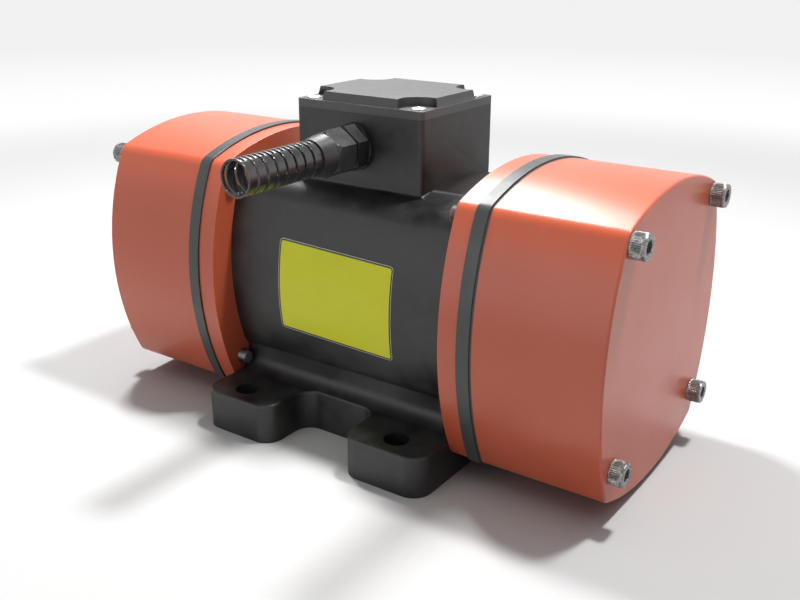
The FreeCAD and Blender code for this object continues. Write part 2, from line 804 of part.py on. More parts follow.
def socket_screws(body, points, seat, head_radius, head_height, radius, tip, socket, plane="end"):
    """Socket head screws that stand on a level and reach down to a tip."""
    shanks = Drawing(body, "Shanks", plane, tip).circles(points, radius)
    pad(body, "ShankPad", shanks, seat - tip)
    heads = Drawing(body, "Heads", plane, seat).circles(points, head_radius)
    head = pad(body, "HeadPad", heads, head_height)
    top = seat + head_height
    sockets = Drawing(body, "Sockets", plane, top)
    for x, y in points:
        sockets.hexagon(x, y, socket, 30.0)
    pocket(body, "SocketCut", sockets, head_height * SOCKET_SHARE)
    return head


def cover_screws(side):
    """Four long screws through cover and gasket into the end shield."""
    body = side_body(side, "cover_screws")
    socket_screws(body, cover_screw_points(), cover_outer, s.cover_screw_head_radius,
                  s.cover_screw_head_height, s.cover_screw_radius, shield_inner - s.cover_screw_tip,
                  s.cover_screw_socket)


def shield_screws(side):
    """Four short screws that hold the end shield on the body."""
    body = side_body(side, "shield_screws")
    seat = shield_outer - s.shield_screw_head_height - 0.5
    socket_screws(body, shield_screw_points(), seat, s.shield_screw_head_radius,
                  s.shield_screw_head_height, s.shield_screw_radius, seat - s.shield_screw_length,
                  s.shield_screw_socket)


def bearing_rings(side):
    """Outer and inner ring of a deep groove ball bearing."""
    for name, low, high in (
            ("bearing_outer_ring", s.bearing_outer_shoulder, s.bearing_outer_radius),
            ("bearing_inner_ring", s.bearing_bore_radius, s.bearing_inner_shoulder)):
        body = side_body(side, name)
        ring = Drawing(body, "Ring", "front").rectangle(bearing_inner, low, bearing_outer, high)
        turned(body, "Revolution", "RingTurn", ring)
        race = Drawing(body, "Race", "front").circle(
            bearing_middle, s.ball_circle_radius, s.ball_radius + s.race_clearance)
        turned(body, "Groove", "RaceCut", race)


def bearing_balls(side):
    """Balls of the bearing."""
    body = side_body(side, "bearing_balls")
    ball = body.newObject("PartDesign::AdditiveSphere", "Ball")
    bind(ball, "Radius", s.ball_radius)
    ball.Placement = FreeCAD.Placement(
        FreeCAD.Vector(bearing_middle.value, 0, s.ball_circle_radius.value), FreeCAD.Rotation())
    bind(ball, "Placement.Base.x", bearing_middle)
    bind(ball, "Placement.Base.z", s.ball_circle_radius)
    polar(body, "BallPattern", [ball], "length", s.ball_count)


def ball_cage(side):
    """Ring that keeps the balls apart."""
    body = side_body(side, "ball_cage")
    half = s.cage_width / 2
    low = s.bearing_inner_shoulder + s.cage_wall
    high = s.bearing_outer_shoulder - s.cage_wall
    ring = Drawing(body, "Ring", "front").rectangle(bearing_middle - half, low, bearing_middle + half, high)
    turned(body, "Revolution", "RingTurn", ring)
    hole = body.newObject("PartDesign::SubtractiveSphere", "BallHole")
    bind(hole, "Radius", s.ball_radius + s.race_clearance)
    hole.Placement = FreeCAD.Placement(
        FreeCAD.Vector(bearing_middle.value, 0, s.ball_circle_radius.value), FreeCAD.Rotation())
    bind(hole, "Placement.Base.x", bearing_middle)
    bind(hole, "Placement.Base.z", s.ball_circle_radius)
    polar(body, "HolePattern", [hole], "length", s.ball_count)


def bearing_cap(side):
    """Cap that keeps the bearing in its seat."""
    body = side_body(side, "bearing_cap")
    seat_radius = s.bearing_outer_radius - s.spigot_clearance
    bore_radius = s.spacer_radius + s.labyrinth_clearance
    profile = Drawing(body, "Profile", "front").polygon([
        (bearing_outer, s.cap_spigot_radius), (bearing_outer, seat_radius), (shield_outer, seat_radius),
        (shield_outer, s.cap_radius), (cap_outer, s.cap_radius), (cap_outer, bore_radius),
        (shield_outer, bore_radius), (shield_outer, s.cap_spigot_radius)])
    turned(body, "Revolution", "Cap", profile)
    holes = Drawing(body, "Holes", "end").circles(cap_screw_points(), s.cap_screw_radius + s.screw_clearance)
    bore(body, "HoleCut", holes)


def cap_screws(side):
    """Three screws of the bearing cap."""
    body = side_body(side, "cap_screws")
    socket_screws(body, cap_screw_points(), cap_outer, s.cap_screw_head_radius, s.cap_screw_head_height,
                  s.cap_screw_radius, cap_outer - s.cap_screw_length, s.cap_screw_socket)


def shaft():
    """Shaft with bearing seats, weight seats, keyways and ring grooves."""
    body = new_body("shaft", z=s.axis_height)
    groove_radius = s.shaft_weight_radius - s.ring_groove_depth
    steps = [
        (bearing_inner, s.shaft_core_radius), (bearing_inner, s.bearing_bore_radius),
        (first_weight, s.bearing_bore_radius), (first_weight, s.shaft_weight_radius),
        (ring_start, s.shaft_weight_radius), (ring_start, groove_radius),
        (ring_start + s.ring_thickness, groove_radius), (ring_start + s.ring_thickness, s.shaft_weight_radius),
        (shaft_end - s.shaft_chamfer, s.shaft_weight_radius),
        (shaft_end, s.shaft_weight_radius - s.shaft_chamfer), (shaft_end, ZERO)]
    mirrored = [(-x, radius) for x, radius in reversed(steps)]
    turned(body, "Revolution", "ShaftTurn", Drawing(body, "Profile", "front").polygon(steps + mirrored))
    top = s.shaft_weight_radius + 1
    keyways = Drawing(body, "Keyways", "floor", -s.shaft_weight_radius + s.key_depth)
    tabs = Drawing(body, "TabSlots", "floor", top)
    for side in (-1, 1):
        low, high = sorted((key_start() * side, key_end() * side), key=lambda size: size.value)
        keyways.rectangle(low, -s.key_width / 2, high, s.key_width / 2)
        low, high = sorted((disc_start * side, shaft_end * side), key=lambda size: size.value)
        tabs.rectangle(low, -s.disc_tab_width / 2, high, s.disc_tab_width / 2)
    pocket(body, "KeywayCut", keyways, s.key_depth + 1)
    pocket(body, "TabSlotCut", tabs, s.disc_tab_depth + 1)


def key_start():
    """Return where the key of the fixed weight begins."""
    return first_weight + s.key_end_gap


def key_end():
    """Return where the key of the fixed weight ends."""
    return first_weight + s.weight_thickness - s.key_end_gap


def shaft_key(side):
    """Key between shaft and fixed weight."""
    body = side_body(side, "shaft_key")
    level = s.key_depth - s.shaft_weight_radius - s.key_height
    outline = Drawing(body, "Outline", "floor", level).rectangle(
        key_start(), -s.key_width / 2, key_end(), s.key_width / 2)
    pad(body, "KeyPad", outline, s.key_height)


def spacer_sleeve(side):
    """Sleeve between inner bearing ring and fixed weight."""
    body = side_body(side, "spacer_sleeve")
    ring = Drawing(body, "Ring", "end", bearing_outer)
    ring.circle(ZERO, ZERO, s.spacer_radius).circle(ZERO, ZERO, s.bearing_bore_radius)
    pad(body, "Sleeve", ring, first_weight - bearing_outer)


def unbalance_weight(side, name, start, keyed):
    """Half-disc weight with a split hub that a bolt clamps on the shaft."""
    body = side_body(side, name)
    disc = pad(body, "HalfDisc", Drawing(body, "Disc", "end", start).half_disc(s.weight_radius),
               s.weight_thickness)
    soften(body, "Chamfer", "DiscEdge", disc, arc_edge, s.weight_edge_chamfer)
    lug = Drawing(body, "Lug", "end", start).rectangle(
        -s.weight_lug_half_width, -s.weight_lug_half_width, s.weight_lug_half_width, s.weight_lug_height)
    pad(body, "LugPad", lug, s.weight_thickness)
    shaft_radius = s.shaft_weight_radius + s.weight_bore_clearance
    bore(body, "ShaftBore", Drawing(body, "BoreCircle", "end").circle(ZERO, ZERO, shaft_radius))
    slit = Drawing(body, "Slit", "end").rectangle(
        -s.weight_slit / 2, ZERO, s.weight_slit / 2, s.weight_lug_height + 1)
    bore(body, "SlitCut", slit)
    middle = start + s.weight_thickness / 2
    hole = Drawing(body, "ClampHole", "front").circle(
        middle, s.clamp_height, s.clamp_radius + s.thread_clearance)
    bore(body, "ClampHoleCut", hole)
    if keyed:
        depth = s.key_depth - s.shaft_weight_radius - s.key_height
        keyway = Drawing(body, "Keyway", "end").rectangle(
            -s.key_width / 2, depth, s.key_width / 2, ZERO)
        bore(body, "KeywayCut", keyway)


def arc_edge(edge):
    """Tell the round rim edges of a weight."""
    return hasattr(edge.Curve, "Radius") and edge.BoundBox.XLength < 0.02


def clamp_bolt(side, name, start):
    """Bolt across the split hub of a weight."""
    body = side_body(side, name)
    middle = start + s.weight_thickness / 2
    socket_screws(body, [(middle, s.clamp_height)], s.weight_lug_half_width, s.clamp_head_radius,
                  s.clamp_head_height, s.clamp_radius, -(s.weight_lug_half_width + s.clamp_tip),
                  s.clamp_socket, "front")


def setting_disc(side):
    """Marked disc that shows how far the adjustable weight is turned."""
    body = side_body(side, "setting_disc")
    bore_radius = s.shaft_weight_radius + s.weight_bore_clearance
    ring = Drawing(body, "Disc", "end", disc_start)
    ring.circle(ZERO, ZERO, s.disc_radius).circle(ZERO, ZERO, bore_radius)
    pad(body, "DiscPad", ring, s.disc_thickness)
    tab = Drawing(body, "Tab", "end", disc_start).rectangle(
        -s.disc_tab_width / 2 + s.thread_clearance, s.shaft_weight_radius - s.disc_tab_depth + s.thread_clearance,
        s.disc_tab_width / 2 - s.thread_clearance, s.shaft_weight_radius + 1)
    pad(body, "TabPad", tab, s.disc_thickness)
    mark = Drawing(body, "Mark", "end", disc_start + s.disc_thickness).circle(
        ZERO, -s.disc_radius, s.disc_mark_radius)
    cut = pocket(body, "MarkCut", mark, s.disc_thickness)
    polar(body, "MarkPattern", [cut], "length", s.disc_mark_count * 2)


def retaining_ring(side):
    """Open spring ring in the shaft groove."""
    body = side_body(side, "retaining_ring")
    inner = s.shaft_weight_radius - s.ring_groove_depth
    ring = Drawing(body, "Ring", "end", ring_start)
    ring.circle(ZERO, ZERO, inner + s.ring_width).circle(ZERO, ZERO, inner)
    pad(body, "RingPad", ring, s.ring_thickness)
    gap = Drawing(body, "Gap", "end").rectangle(
        -s.ring_gap / 2, -(inner + s.ring_width + 1), s.ring_gap / 2, ZERO)
    bore(body, "GapCut", gap)


def rotor_core():
    """Laminated rotor stack with holes for the cage bars."""
    body = new_body("rotor_core", z=s.axis_height)
    ring = Drawing(body, "Ring", "end", -s.core_half_length)
    ring.circle(ZERO, ZERO, s.rotor_radius).circle(ZERO, ZERO, s.shaft_core_radius)
    pad(body, "Stack", ring, s.core_half_length * 2)
    hole = Drawing(body, "BarHole", "end").circle(
        ZERO, s.rotor_bar_circle, s.rotor_bar_radius + s.thread_clearance)
    polar(body, "BarHoles", [bore(body, "BarHoleCut", hole)], "length", s.rotor_bar_count)


def rotor_cage():
    """Cast bars and end rings of the rotor."""
    body = new_body("rotor_cage", z=s.axis_height)
    bar = Drawing(body, "Bar", "end", -s.core_half_length).circle(
        ZERO, s.rotor_bar_circle, s.rotor_bar_radius)
    bars = pad(body, "BarPad", bar, s.core_half_length * 2)
    polar(body, "Bars", [bars], "length", s.rotor_bar_count)
    for name, level in (("RightRing", s.core_half_length), ("LeftRing", -s.core_half_length - s.cage_ring_length)):
        ring = Drawing(body, name, "end", level)
        ring.circle(ZERO, ZERO, s.rotor_radius).circle(ZERO, ZERO, s.cage_ring_inner_radius)
        pad(body, name + "Pad", ring, s.cage_ring_length)


def stator_core():
    """Laminated stator stack with open slots."""
    body = new_body("stator_core", z=s.axis_height)
    ring = Drawing(body, "Ring", "end", -s.core_half_length)
    ring.circle(ZERO, ZERO, s.bore_radius - s.thread_clearance)
    ring.circle(ZERO, ZERO, s.rotor_radius + s.air_gap)
    pad(body, "Stack", ring, s.core_half_length * 2)
    half_slot = s.slot_width / 2
    half_mouth = s.slot_mouth_width / 2
    slot = Drawing(body, "Slot", "end").polygon([
        (-half_mouth, s.rotor_radius - 1), (half_mouth, s.rotor_radius - 1), (half_mouth, s.slot_inner_radius),
        (half_slot, s.slot_inner_radius), (half_slot, s.slot_outer_radius),
        (-half_slot, s.slot_outer_radius), (-half_slot, s.slot_inner_radius),
        (-half_mouth, s.slot_inner_radius)])
    polar(body, "Slots", [bore(body, "SlotCut", slot)], "length", s.slot_count)


def stator_windings():
    """Coil sides in the slots and the end turns on both ends."""
    body = new_body("stator_windings", z=s.axis_height)
    half_slot = s.slot_width / 2 - s.slot_liner
    coil = Drawing(body, "CoilSide", "end", -s.core_half_length).rectangle(
        -half_slot, s.slot_inner_radius + s.slot_liner, half_slot, s.slot_outer_radius - s.slot_liner)
    sides = pad(body, "CoilPad", coil, s.core_half_length * 2)
    last = polar(body, "CoilSides", [sides], "length", s.slot_count)
    for name, level in (("RightTurns", s.core_half_length), ("LeftTurns", -s.core_half_length - s.winding_length)):
        ring = Drawing(body, name, "end", level)
        ring.circle(ZERO, ZERO, s.winding_outer_radius).circle(ZERO, ZERO, s.winding_inner_radius)
        last = pad(body, name + "Pad", ring, s.winding_length)
    end = s.core_half_length + s.winding_length
    soften(body, "Fillet", "TurnRound", last,
           lambda edge: edge.BoundBox.XLength < 0.02 and near(abs(edge.BoundBox.XMin), end), s.winding_round)


def terminal_lid():
    """Lid with a raised field and four round corner recesses."""
    body = new_body("terminal_lid", y=-s.box_shift, z=lid_bottom)
    plate = Drawing(body, "Plate", "floor").rectangle(
        -s.box_half_length, -s.box_half_width, s.box_half_length, s.box_half_width)
    base = pad(body, "PlatePad", plate, s.lid_plate)
    soften(body, "Fillet", "PlateRound", base, lambda edge: edge.BoundBox.ZLength > 2, s.box_corner_radius)
    x = s.box_half_length - s.lid_rise_inset
    y = s.box_half_width - s.lid_rise_inset
    field = pad(body, "Field", Drawing(body, "FieldOutline", "floor", s.lid_plate).rectangle(-x, -y, x, y),
                s.lid_rise)
    bind(field, "TaperAngle", -s.lid_rise_slope)
    notches = Drawing(body, "Recesses", "floor", s.lid_plate).circles(
        four_corners(lid_screw_x, lid_screw_y), s.lid_notch_radius)
    pocket(body, "RecessCut", notches, s.lid_rise + 1, Reversed=True)
    holes = Drawing(body, "ScrewHoles", "floor").circles(
        four_corners(lid_screw_x, lid_screw_y), s.lid_screw_radius + s.screw_clearance)
    bore(body, "ScrewHoleCut", holes)


def lid_gasket():
    """Thin frame between box and lid."""
    body = new_body("lid_gasket", z=box_top)
    x = s.box_half_length - s.lid_gasket_inset
    y = s.box_half_width - s.lid_gasket_inset
    frame = Drawing(body, "Frame", "floor").rectangle(-x, -y - s.box_shift, x, y - s.box_shift)
    cavity_outline(frame)
    pad(body, "FramePad", frame, s.lid_gasket_thickness)
    holes = Drawing(body, "ScrewHoles", "floor").circles(
        four_corners(lid_screw_x, lid_screw_y, -s.box_shift), s.lid_screw_radius + s.screw_clearance)
    bore(body, "ScrewHoleCut", holes)


def lid_screws():
    """Four low slotted screws in the lid's corners."""
    body = new_body("lid_screws", y=-s.box_shift, z=lid_plate_top)
    points = four_corners(lid_screw_x, lid_screw_y)
    shanks = Drawing(body, "Shanks", "floor", -s.lid_screw_length).circles(points, s.lid_screw_radius)
    pad(body, "ShankPad", shanks, s.lid_screw_length)
    heads = pad(body, "HeadPad", Drawing(body, "Heads", "floor").circles(points, s.lid_screw_head_radius),
                s.lid_screw_head_height)
    soften(body, "Fillet", "HeadRound", heads,
           lambda edge: near(edge.BoundBox.ZMin, s.lid_screw_head_height) and edge.BoundBox.XLength > 5,
           s.lid_screw_head_height * 0.45)
    slots = Drawing(body, "Slots", "floor", s.lid_screw_head_height)
    for x, y in points:
        slots.rectangle(x - s.lid_screw_head_radius - 1, y - s.lid_screw_slot / 2,
                        x + s.lid_screw_head_radius + 1, y + s.lid_screw_slot / 2)
    pocket(body, "SlotCut", slots, s.lid_screw_head_height * 0.5)


def stud_points():
    """Return where the six terminal studs stand in the terminal block's frame."""
    return [(s.stud_spacing * column, s.stud_half_row * row) for column in (-1, 0, 1) for row in (-1, 1)]


def block_body(label, level):
    """Add a body over the terminal block."""
    return new_body(label, y=s.block_shift - s.box_shift, z=level)


def terminal_block():
    """Moulded block that carries the terminal studs."""
    body = block_body("terminal_block", box_floor)
    base = Drawing(body, "Base", "floor").rectangle(
        -s.block_half_length, -s.block_half_width, s.block_half_length, s.block_half_width)
    pad(body, "BasePad", base, s.block_height)
    holes = Drawing(body, "StudHoles", "floor").circles(stud_points(), s.stud_radius + s.thread_clearance)
    bore(body, "StudHoleCut", holes)
    walls = Drawing(body, "Barriers", "floor", s.block_height)
    for column in (-1, 1):
        middle = s.stud_spacing * (column * 0.5)
        walls.rectangle(middle - 1, -s.block_half_width, middle + 1, s.block_half_width)
    pad(body, "BarrierPad", walls, s.nut_height + s.link_thickness)


def terminal_studs():
    """Six threaded studs of the terminal block."""
    body = block_body("terminal_studs", box_floor)
    studs = Drawing(body, "Studs", "floor").circles(stud_points(), s.stud_radius)
    pad(body, "StudPad", studs, s.stud_length)


def terminal_links():
    """Three bars that join the studs in pairs."""
    body = block_body("terminal_links", block_top)
    bars = Drawing(body, "Bars", "floor")
    reach = s.stud_half_row + s.link_width / 2
    for column in (-1, 0, 1):
        middle = s.stud_spacing * column
        bars.rectangle(middle - s.link_width / 2, -reach, middle + s.link_width / 2, reach)
    bars.circles(stud_points(), s.stud_radius + s.screw_clearance)
    pad(body, "BarPad", bars, s.link_thickness)


def terminal_nuts():
    """Six nuts on the terminal studs."""
    body = block_body("terminal_nuts", block_top + s.link_thickness)
    nuts = Drawing(body, "Nuts", "floor")
    for x, y in stud_points():
        nuts.hexagon(x, y, s.nut_half_flats)
    nuts.circles(stud_points(), s.stud_radius + s.thread_clearance)
    pad(body, "NutPad", nuts, s.nut_height)


def earth_screw():
    """Hexagon screw of the earth terminal on the box floor."""
    body = new_body("earth_screw", x=-earth_x, y=-earth_y, z=box_floor)
    shank = Drawing(body, "Shank", "floor", -s.earth_length + 1).circle(ZERO, ZERO, s.earth_radius)
    pad(body, "ShankPad", shank, s.earth_length - 1)
    head = Drawing(body, "Head", "floor").hexagon(ZERO, ZERO, s.earth_half_flats)
    pad(body, "HeadPad", head, s.earth_head_height)


def gland_body_at(label, twist=0.0):
    """Add a body on the gland axis, with its own z pointing out of the box."""
    return new_body(label, x=-s.gland_x, y=box_front, z=gland_height, turn_axis=(1, 0, 0), turn=90.0,
                    twist=twist)


# Places along the gland axis, measured from the front of the terminal box
flange_start = s.gland_washer
hex_start = flange_start + s.gland_flange
hex_end = hex_start + s.gland_body_length
nut_start = hex_end + s.gland_neck_gap
nut_end = nut_start + s.gland_nut_length
dome_end = nut_end + s.dome_length
front_thread_end = hex_end + s.gland_front_thread
tail_end = dome_end + s.slit_pitch * s.slit_count
tail_bore = s.tail_radius - s.tail_wall


def chamfer_hexagon(body, name, end, length):
    """Turn the corners off a hexagon, from its end face inward by a length."""
    reach = s.gland_half_flats + s.hex_chamfer_reach
    corner = Drawing(body, name, "front").polygon([
        (s.gland_half_flats + s.hex_chamfer_start, end), (reach, end), (reach, end + length)])
    turned(body, "Groove", name + "Cut", corner, "V_Axis")


def gland_washer():
    """Seal ring between gland and box."""
    body = gland_body_at("gland_washer")
    ring = Drawing(body, "Ring", "floor")
    ring.circle(ZERO, ZERO, s.gland_flange_radius).circle(ZERO, ZERO, s.gland_thread_radius + s.thread_clearance)
    pad(body, "RingPad", ring, s.gland_washer)


def gland_body():
    """Threaded gland body with flange and hexagon."""
    body = gland_body_at("gland_body", GLAND_TWIST)
    inner_end = -(s.box_wall + s.locknut_height)
    seal_seat = s.seal_radius + s.thread_clearance
    profile = Drawing(body, "Profile", "front").polygon([
        (s.gland_bore_radius, inner_end), (s.gland_thread_radius, inner_end),
        (s.gland_thread_radius, flange_start), (s.gland_flange_radius, flange_start),
        (s.gland_flange_radius, hex_start), (s.gland_front_radius, hex_start),
        (s.gland_front_radius, front_thread_end), (seal_seat, front_thread_end), (seal_seat, hex_end),
        (s.gland_bore_radius, hex_end)])
    turned(body, "Revolution", "Tube", profile, "V_Axis")
    hexagon = Drawing(body, "Hexagon", "floor", hex_start).hexagon(
        ZERO, ZERO, s.gland_half_flats)
    hexagon.circle(ZERO, ZERO, s.gland_bore_radius)
    pad(body, "HexagonPad", hexagon, s.gland_body_length)
    chamfer_hexagon(body, "FrontChamfer", hex_end, -s.hex_chamfer_length / 2)


def gland_seal():
    """Rubber insert that grips a cable."""
    body = gland_body_at("gland_seal")
    ring = Drawing(body, "Ring", "floor", hex_end)
    ring.circle(ZERO, ZERO, s.seal_radius).circle(ZERO, ZERO, s.seal_bore_radius)
    pad(body, "RingPad", ring, nut_end - hex_end)


def gland_nut():
    """Dome nut with a tail that is slit from alternate sides, so that it bends."""
    body = gland_body_at("gland_nut", GLAND_TWIST)
    thread = s.gland_front_radius + s.gland_nut_wall
    hexagon = Drawing(body, "Hexagon", "floor", nut_start).hexagon(ZERO, ZERO, s.gland_half_flats)
    pad(body, "HexagonPad", hexagon, s.gland_nut_length)
    chamfer_hexagon(body, "BackChamfer", nut_start, s.hex_chamfer_length / 2)
    chamfer_hexagon(body, "FrontChamfer", nut_end, -s.hex_chamfer_length)
    dome = Drawing(body, "Dome", "front").polygon([
        (ZERO, nut_end), (s.gland_half_flats, nut_end), (s.gland_half_flats - 0.6, nut_end + s.dome_length * 0.4),
        (s.dome_end_radius, dome_end), (s.tail_radius, dome_end), (s.tail_radius, tail_end), (ZERO, tail_end)])
    turned(body, "Revolution", "DomeTurn", dome, "V_Axis")
    inside = Drawing(body, "Inside", "front").polygon([
        (ZERO, nut_start - 1), (thread, nut_start - 1), (thread, nut_end), (s.gland_bore_radius, nut_end),
        (s.gland_bore_radius, dome_end - s.tail_root), (tail_bore, dome_end - s.tail_root),
        (tail_bore, tail_end + 1), (ZERO, tail_end + 1)])
    turned(body, "Groove", "InsideCut", inside, "V_Axis")
    tail_slits(body, "NearSlits", 0, s.slit_web - s.tail_radius, s.tail_radius + 1)
    tail_slits(body, "FarSlits", 1, -s.tail_radius - 1, s.tail_radius - s.slit_web)


def tail_slits(body, name, first, left, right):
    """Cut every second slit of the tail, leaving a web on one side."""
    slits = Drawing(body, name, "front")
    for number in range(first, int(s.slit_count.value), 2):
        start = dome_end + s.slit_pitch * number
        slits.rectangle(left, start, right, start + s.slit_width)
    bore(body, name + "Cut", slits)


def gland_locknut():
    """Nut that holds the gland from inside the box."""
    body = gland_body_at("gland_locknut")
    nut = Drawing(body, "Nut", "floor", -(s.box_wall + s.locknut_height))
    nut.hexagon(ZERO, ZERO, s.locknut_half_flats, 0.0)
    nut.circle(ZERO, ZERO, s.gland_thread_radius + s.thread_clearance)
    pad(body, "NutPad", nut, s.locknut_height)


def build_side(side):
    """Build all the pieces of one end of the motor."""
    end_shield(side)
    shield_screws(side)
    bearing_rings(side)
    bearing_balls(side)
    ball_cage(side)
    bearing_cap(side)
    cap_screws(side)
    cover_gasket(side)
    weight_cover(side)
    cover_screws(side)
    spacer_sleeve(side)
    shaft_key(side)
    unbalance_weight(side, "fixed_weight", first_weight, True)
    clamp_bolt(side, "fixed_clamp_bolt", first_weight)
    unbalance_weight(side, "adjustable_weight", second_weight, False)
    clamp_bolt(side, "adjustable_clamp_bolt", second_weight)
    setting_disc(side)
    retaining_ring(side)


def build_all():
    """Build every piece of the motor."""
    motor_housing()
    stator_core()
    stator_windings()
    shaft()
    rotor_core()
    rotor_cage()
    for side in SIDES:
        build_side(side)
    terminal_lid()
    lid_gasket()
    lid_screws()
    terminal_block()
    terminal_studs()
    terminal_links()
    terminal_nuts()
    earth_screw()
    gland_washer()
    gland_body()
    gland_seal()
    gland_nut()
    gland_locknut()
    document.recompute()


def check_all():
    """Stop when an object failed or a piece has no valid shape."""
    for item in document.Objects:
        if "Invalid" in item.State or "Error" in item.State:
            raise RuntimeError("%s did not compute" % item.Label)
    for body in PIECES:
        if body.Shape.isNull() or not body.Shape.isValid() or not body.Shape.Solids:
            raise RuntimeError("%s has no valid shape" % body.Label)


def write_all():
    """Write one STEP file for each piece."""
    os.makedirs("parts", exist_ok=True)
    for body in PIECES:
        body.Shape.exportStep(os.path.join("parts", body.Label + ".step"))


build_all()
check_all()
write_all()
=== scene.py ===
import json
import logging
import math
from dataclasses import dataclass, field
from enum import Enum
from functools import cache
from typing import Any, Callable, Iterable, Optional

import bmesh
import bpy
from mathutils import Matrix, Vector

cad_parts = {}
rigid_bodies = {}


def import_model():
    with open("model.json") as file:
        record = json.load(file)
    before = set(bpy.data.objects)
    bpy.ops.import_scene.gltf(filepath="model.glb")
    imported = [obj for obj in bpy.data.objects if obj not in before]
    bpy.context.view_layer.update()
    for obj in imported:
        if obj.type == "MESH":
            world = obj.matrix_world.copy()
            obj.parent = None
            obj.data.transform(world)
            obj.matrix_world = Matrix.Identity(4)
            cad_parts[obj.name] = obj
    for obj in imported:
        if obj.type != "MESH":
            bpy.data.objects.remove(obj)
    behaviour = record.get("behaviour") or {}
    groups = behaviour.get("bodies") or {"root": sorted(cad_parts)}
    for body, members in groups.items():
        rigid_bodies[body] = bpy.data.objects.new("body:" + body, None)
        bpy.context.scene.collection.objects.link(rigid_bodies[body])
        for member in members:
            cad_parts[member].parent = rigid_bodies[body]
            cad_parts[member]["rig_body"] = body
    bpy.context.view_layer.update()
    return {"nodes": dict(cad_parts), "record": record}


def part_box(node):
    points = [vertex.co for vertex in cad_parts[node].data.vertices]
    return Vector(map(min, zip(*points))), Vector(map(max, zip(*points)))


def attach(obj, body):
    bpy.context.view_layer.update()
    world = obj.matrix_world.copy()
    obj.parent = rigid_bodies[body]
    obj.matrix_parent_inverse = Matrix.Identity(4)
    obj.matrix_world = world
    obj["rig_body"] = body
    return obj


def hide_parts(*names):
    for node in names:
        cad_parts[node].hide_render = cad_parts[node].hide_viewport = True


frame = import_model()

LOG = logging.getLogger("vibration_motor")
MM = 0.001
RIM = "rim"
# Reach in metres within which points merge, slivers go and cuts snap
WELD = 2e-6
SLIVER = 1e-6
CUT_REACH = 1e-7
# Degrees between two faces that count as flat
FLAT_ANGLE = 0.4
# Corner radius of a hexagon over half its width across flats
HEXAGON_CORNER = 1.155

Color = tuple[float, float, float]
Place = tuple[float, float, float]
Profile = tuple[tuple[float, float], ...]
Shape = Callable[[float], float]


class Side(Enum):
    """The two ends of the motor; the left one is the right one turned half round."""

    RIGHT = 0.0
    LEFT = math.pi

    def node(self, name: str) -> str:
        """Returns the name of this end's CAD node."""
        return f"{self.name.lower()}_{name}"

    def turn(self) -> Matrix:
        """Returns the turn about the upright axis that places this end."""
        return Matrix.Rotation(self.value, 4, "Z")


class Axis(Enum):
    """The axis that the lines of a turned or stacked part follow each other along."""

    X = (1.0, 0.0, 0.0)
    Z = (0.0, 0.0, 1.0)


# Shader tools


class Graph:
    """Short ways to place and link the nodes of a material or a shader group."""

    def __init__(self, tree: bpy.types.NodeTree) -> None:
        """Takes an empty tree.

        Args:
            tree: The node tree to fill.
        """
        self.tree = tree

    def add(self, kind: str, inputs: Optional[dict[Any, Any]] = None, **settings: Any) -> bpy.types.Node:
        """Adds a node.

        Args:
            kind: The node's type without its leading ShaderNode.
            inputs: Sockets by name or number, each with a value or the socket that feeds it.
            settings: Properties of the node.

        Returns:
            The new node.
        """
        node = self.tree.nodes.new(kind if kind.startswith("Node") else "ShaderNode" + kind)
        for name, value in settings.items():
            setattr(node, name, value)
        for name, value in (inputs or {}).items():
            if isinstance(value, bpy.types.NodeSocket):
                self.tree.links.new(value, node.inputs[name])
            else:
                node.inputs[name].default_value = value
        return node

    def math(self, operation: str, first: Any, second: Any = 0.0) -> bpy.types.NodeSocket:
        """Returns the result of a Math node on two values."""
        return self.add("Math", {0: first, 1: second}, operation=operation).outputs[0]

    def ramp(self, value: Any, low: float, high: float, start: float = 0.0,
             end: float = 1.0) -> bpy.types.NodeSocket:
        """Maps a value smoothly from low..high to start..end.

        Args:
            value: The socket to map.
            low: The value that gives start.
            high: The value that gives end.
            start: First result.
            end: Last result.

        Returns:
            The mapped socket.
        """
        node = self.add("MapRange", {0: value, 1: low, 2: high, 3: start, 4: end},
                        interpolation_type="SMOOTHSTEP")
        return node.outputs[0]

    def mix(self, share: Any, first: Any, second: Any) -> bpy.types.NodeSocket:
        """Mixes two colours.

        Args:
            share: How much of the second colour shows.
            first: The colour at share 0.
            second: The colour at share 1.

        Returns:
            The mixed colour.
        """
        node = self.add("Mix", data_type="RGBA")
        for number, value in ((0, share), (6, first), (7, second)):
            if isinstance(value, bpy.types.NodeSocket):
                self.tree.links.new(value, node.inputs[number])
            elif number:
                node.inputs[number].default_value = (*value, 1.0)
            else:
                node.inputs[number].default_value = value
        return node.outputs[2]

    def place(self) -> bpy.types.NodeSocket:
        """Returns the place on the piece, in metres."""
        return self.add("TexCoord").outputs["Object"]

    def noise(self, size: bpy.types.NodeSocket, detail: float, roughness: float) -> bpy.types.NodeSocket:
        """Adds a noise on the place on the piece.

        Args:
            size: Size of its marks, in millimetres.
            detail: How many finer layers it has.
            roughness: How strong the finer layers are.

        Returns:
            The noise, from 0 to 1.
        """
        scale = self.math("DIVIDE", 1.0 / MM, size)
        return self.add("TexNoise", {"Vector": self.place(), "Scale": scale, "Detail": detail,
                                     "Roughness": roughness}).outputs[0]

    def group(self, tree: bpy.types.NodeTree, inputs: dict[str, float]) -> bpy.types.Node:
        """Places a shader group with its own values.

        Args:
            tree: The shader group.
            inputs: Values by the names of its inputs.

        Returns:
            The group node.
        """
        node = self.add("Group")
        node.node_tree = tree
        for name, value in inputs.items():
            node.inputs[name].default_value = value
        return node


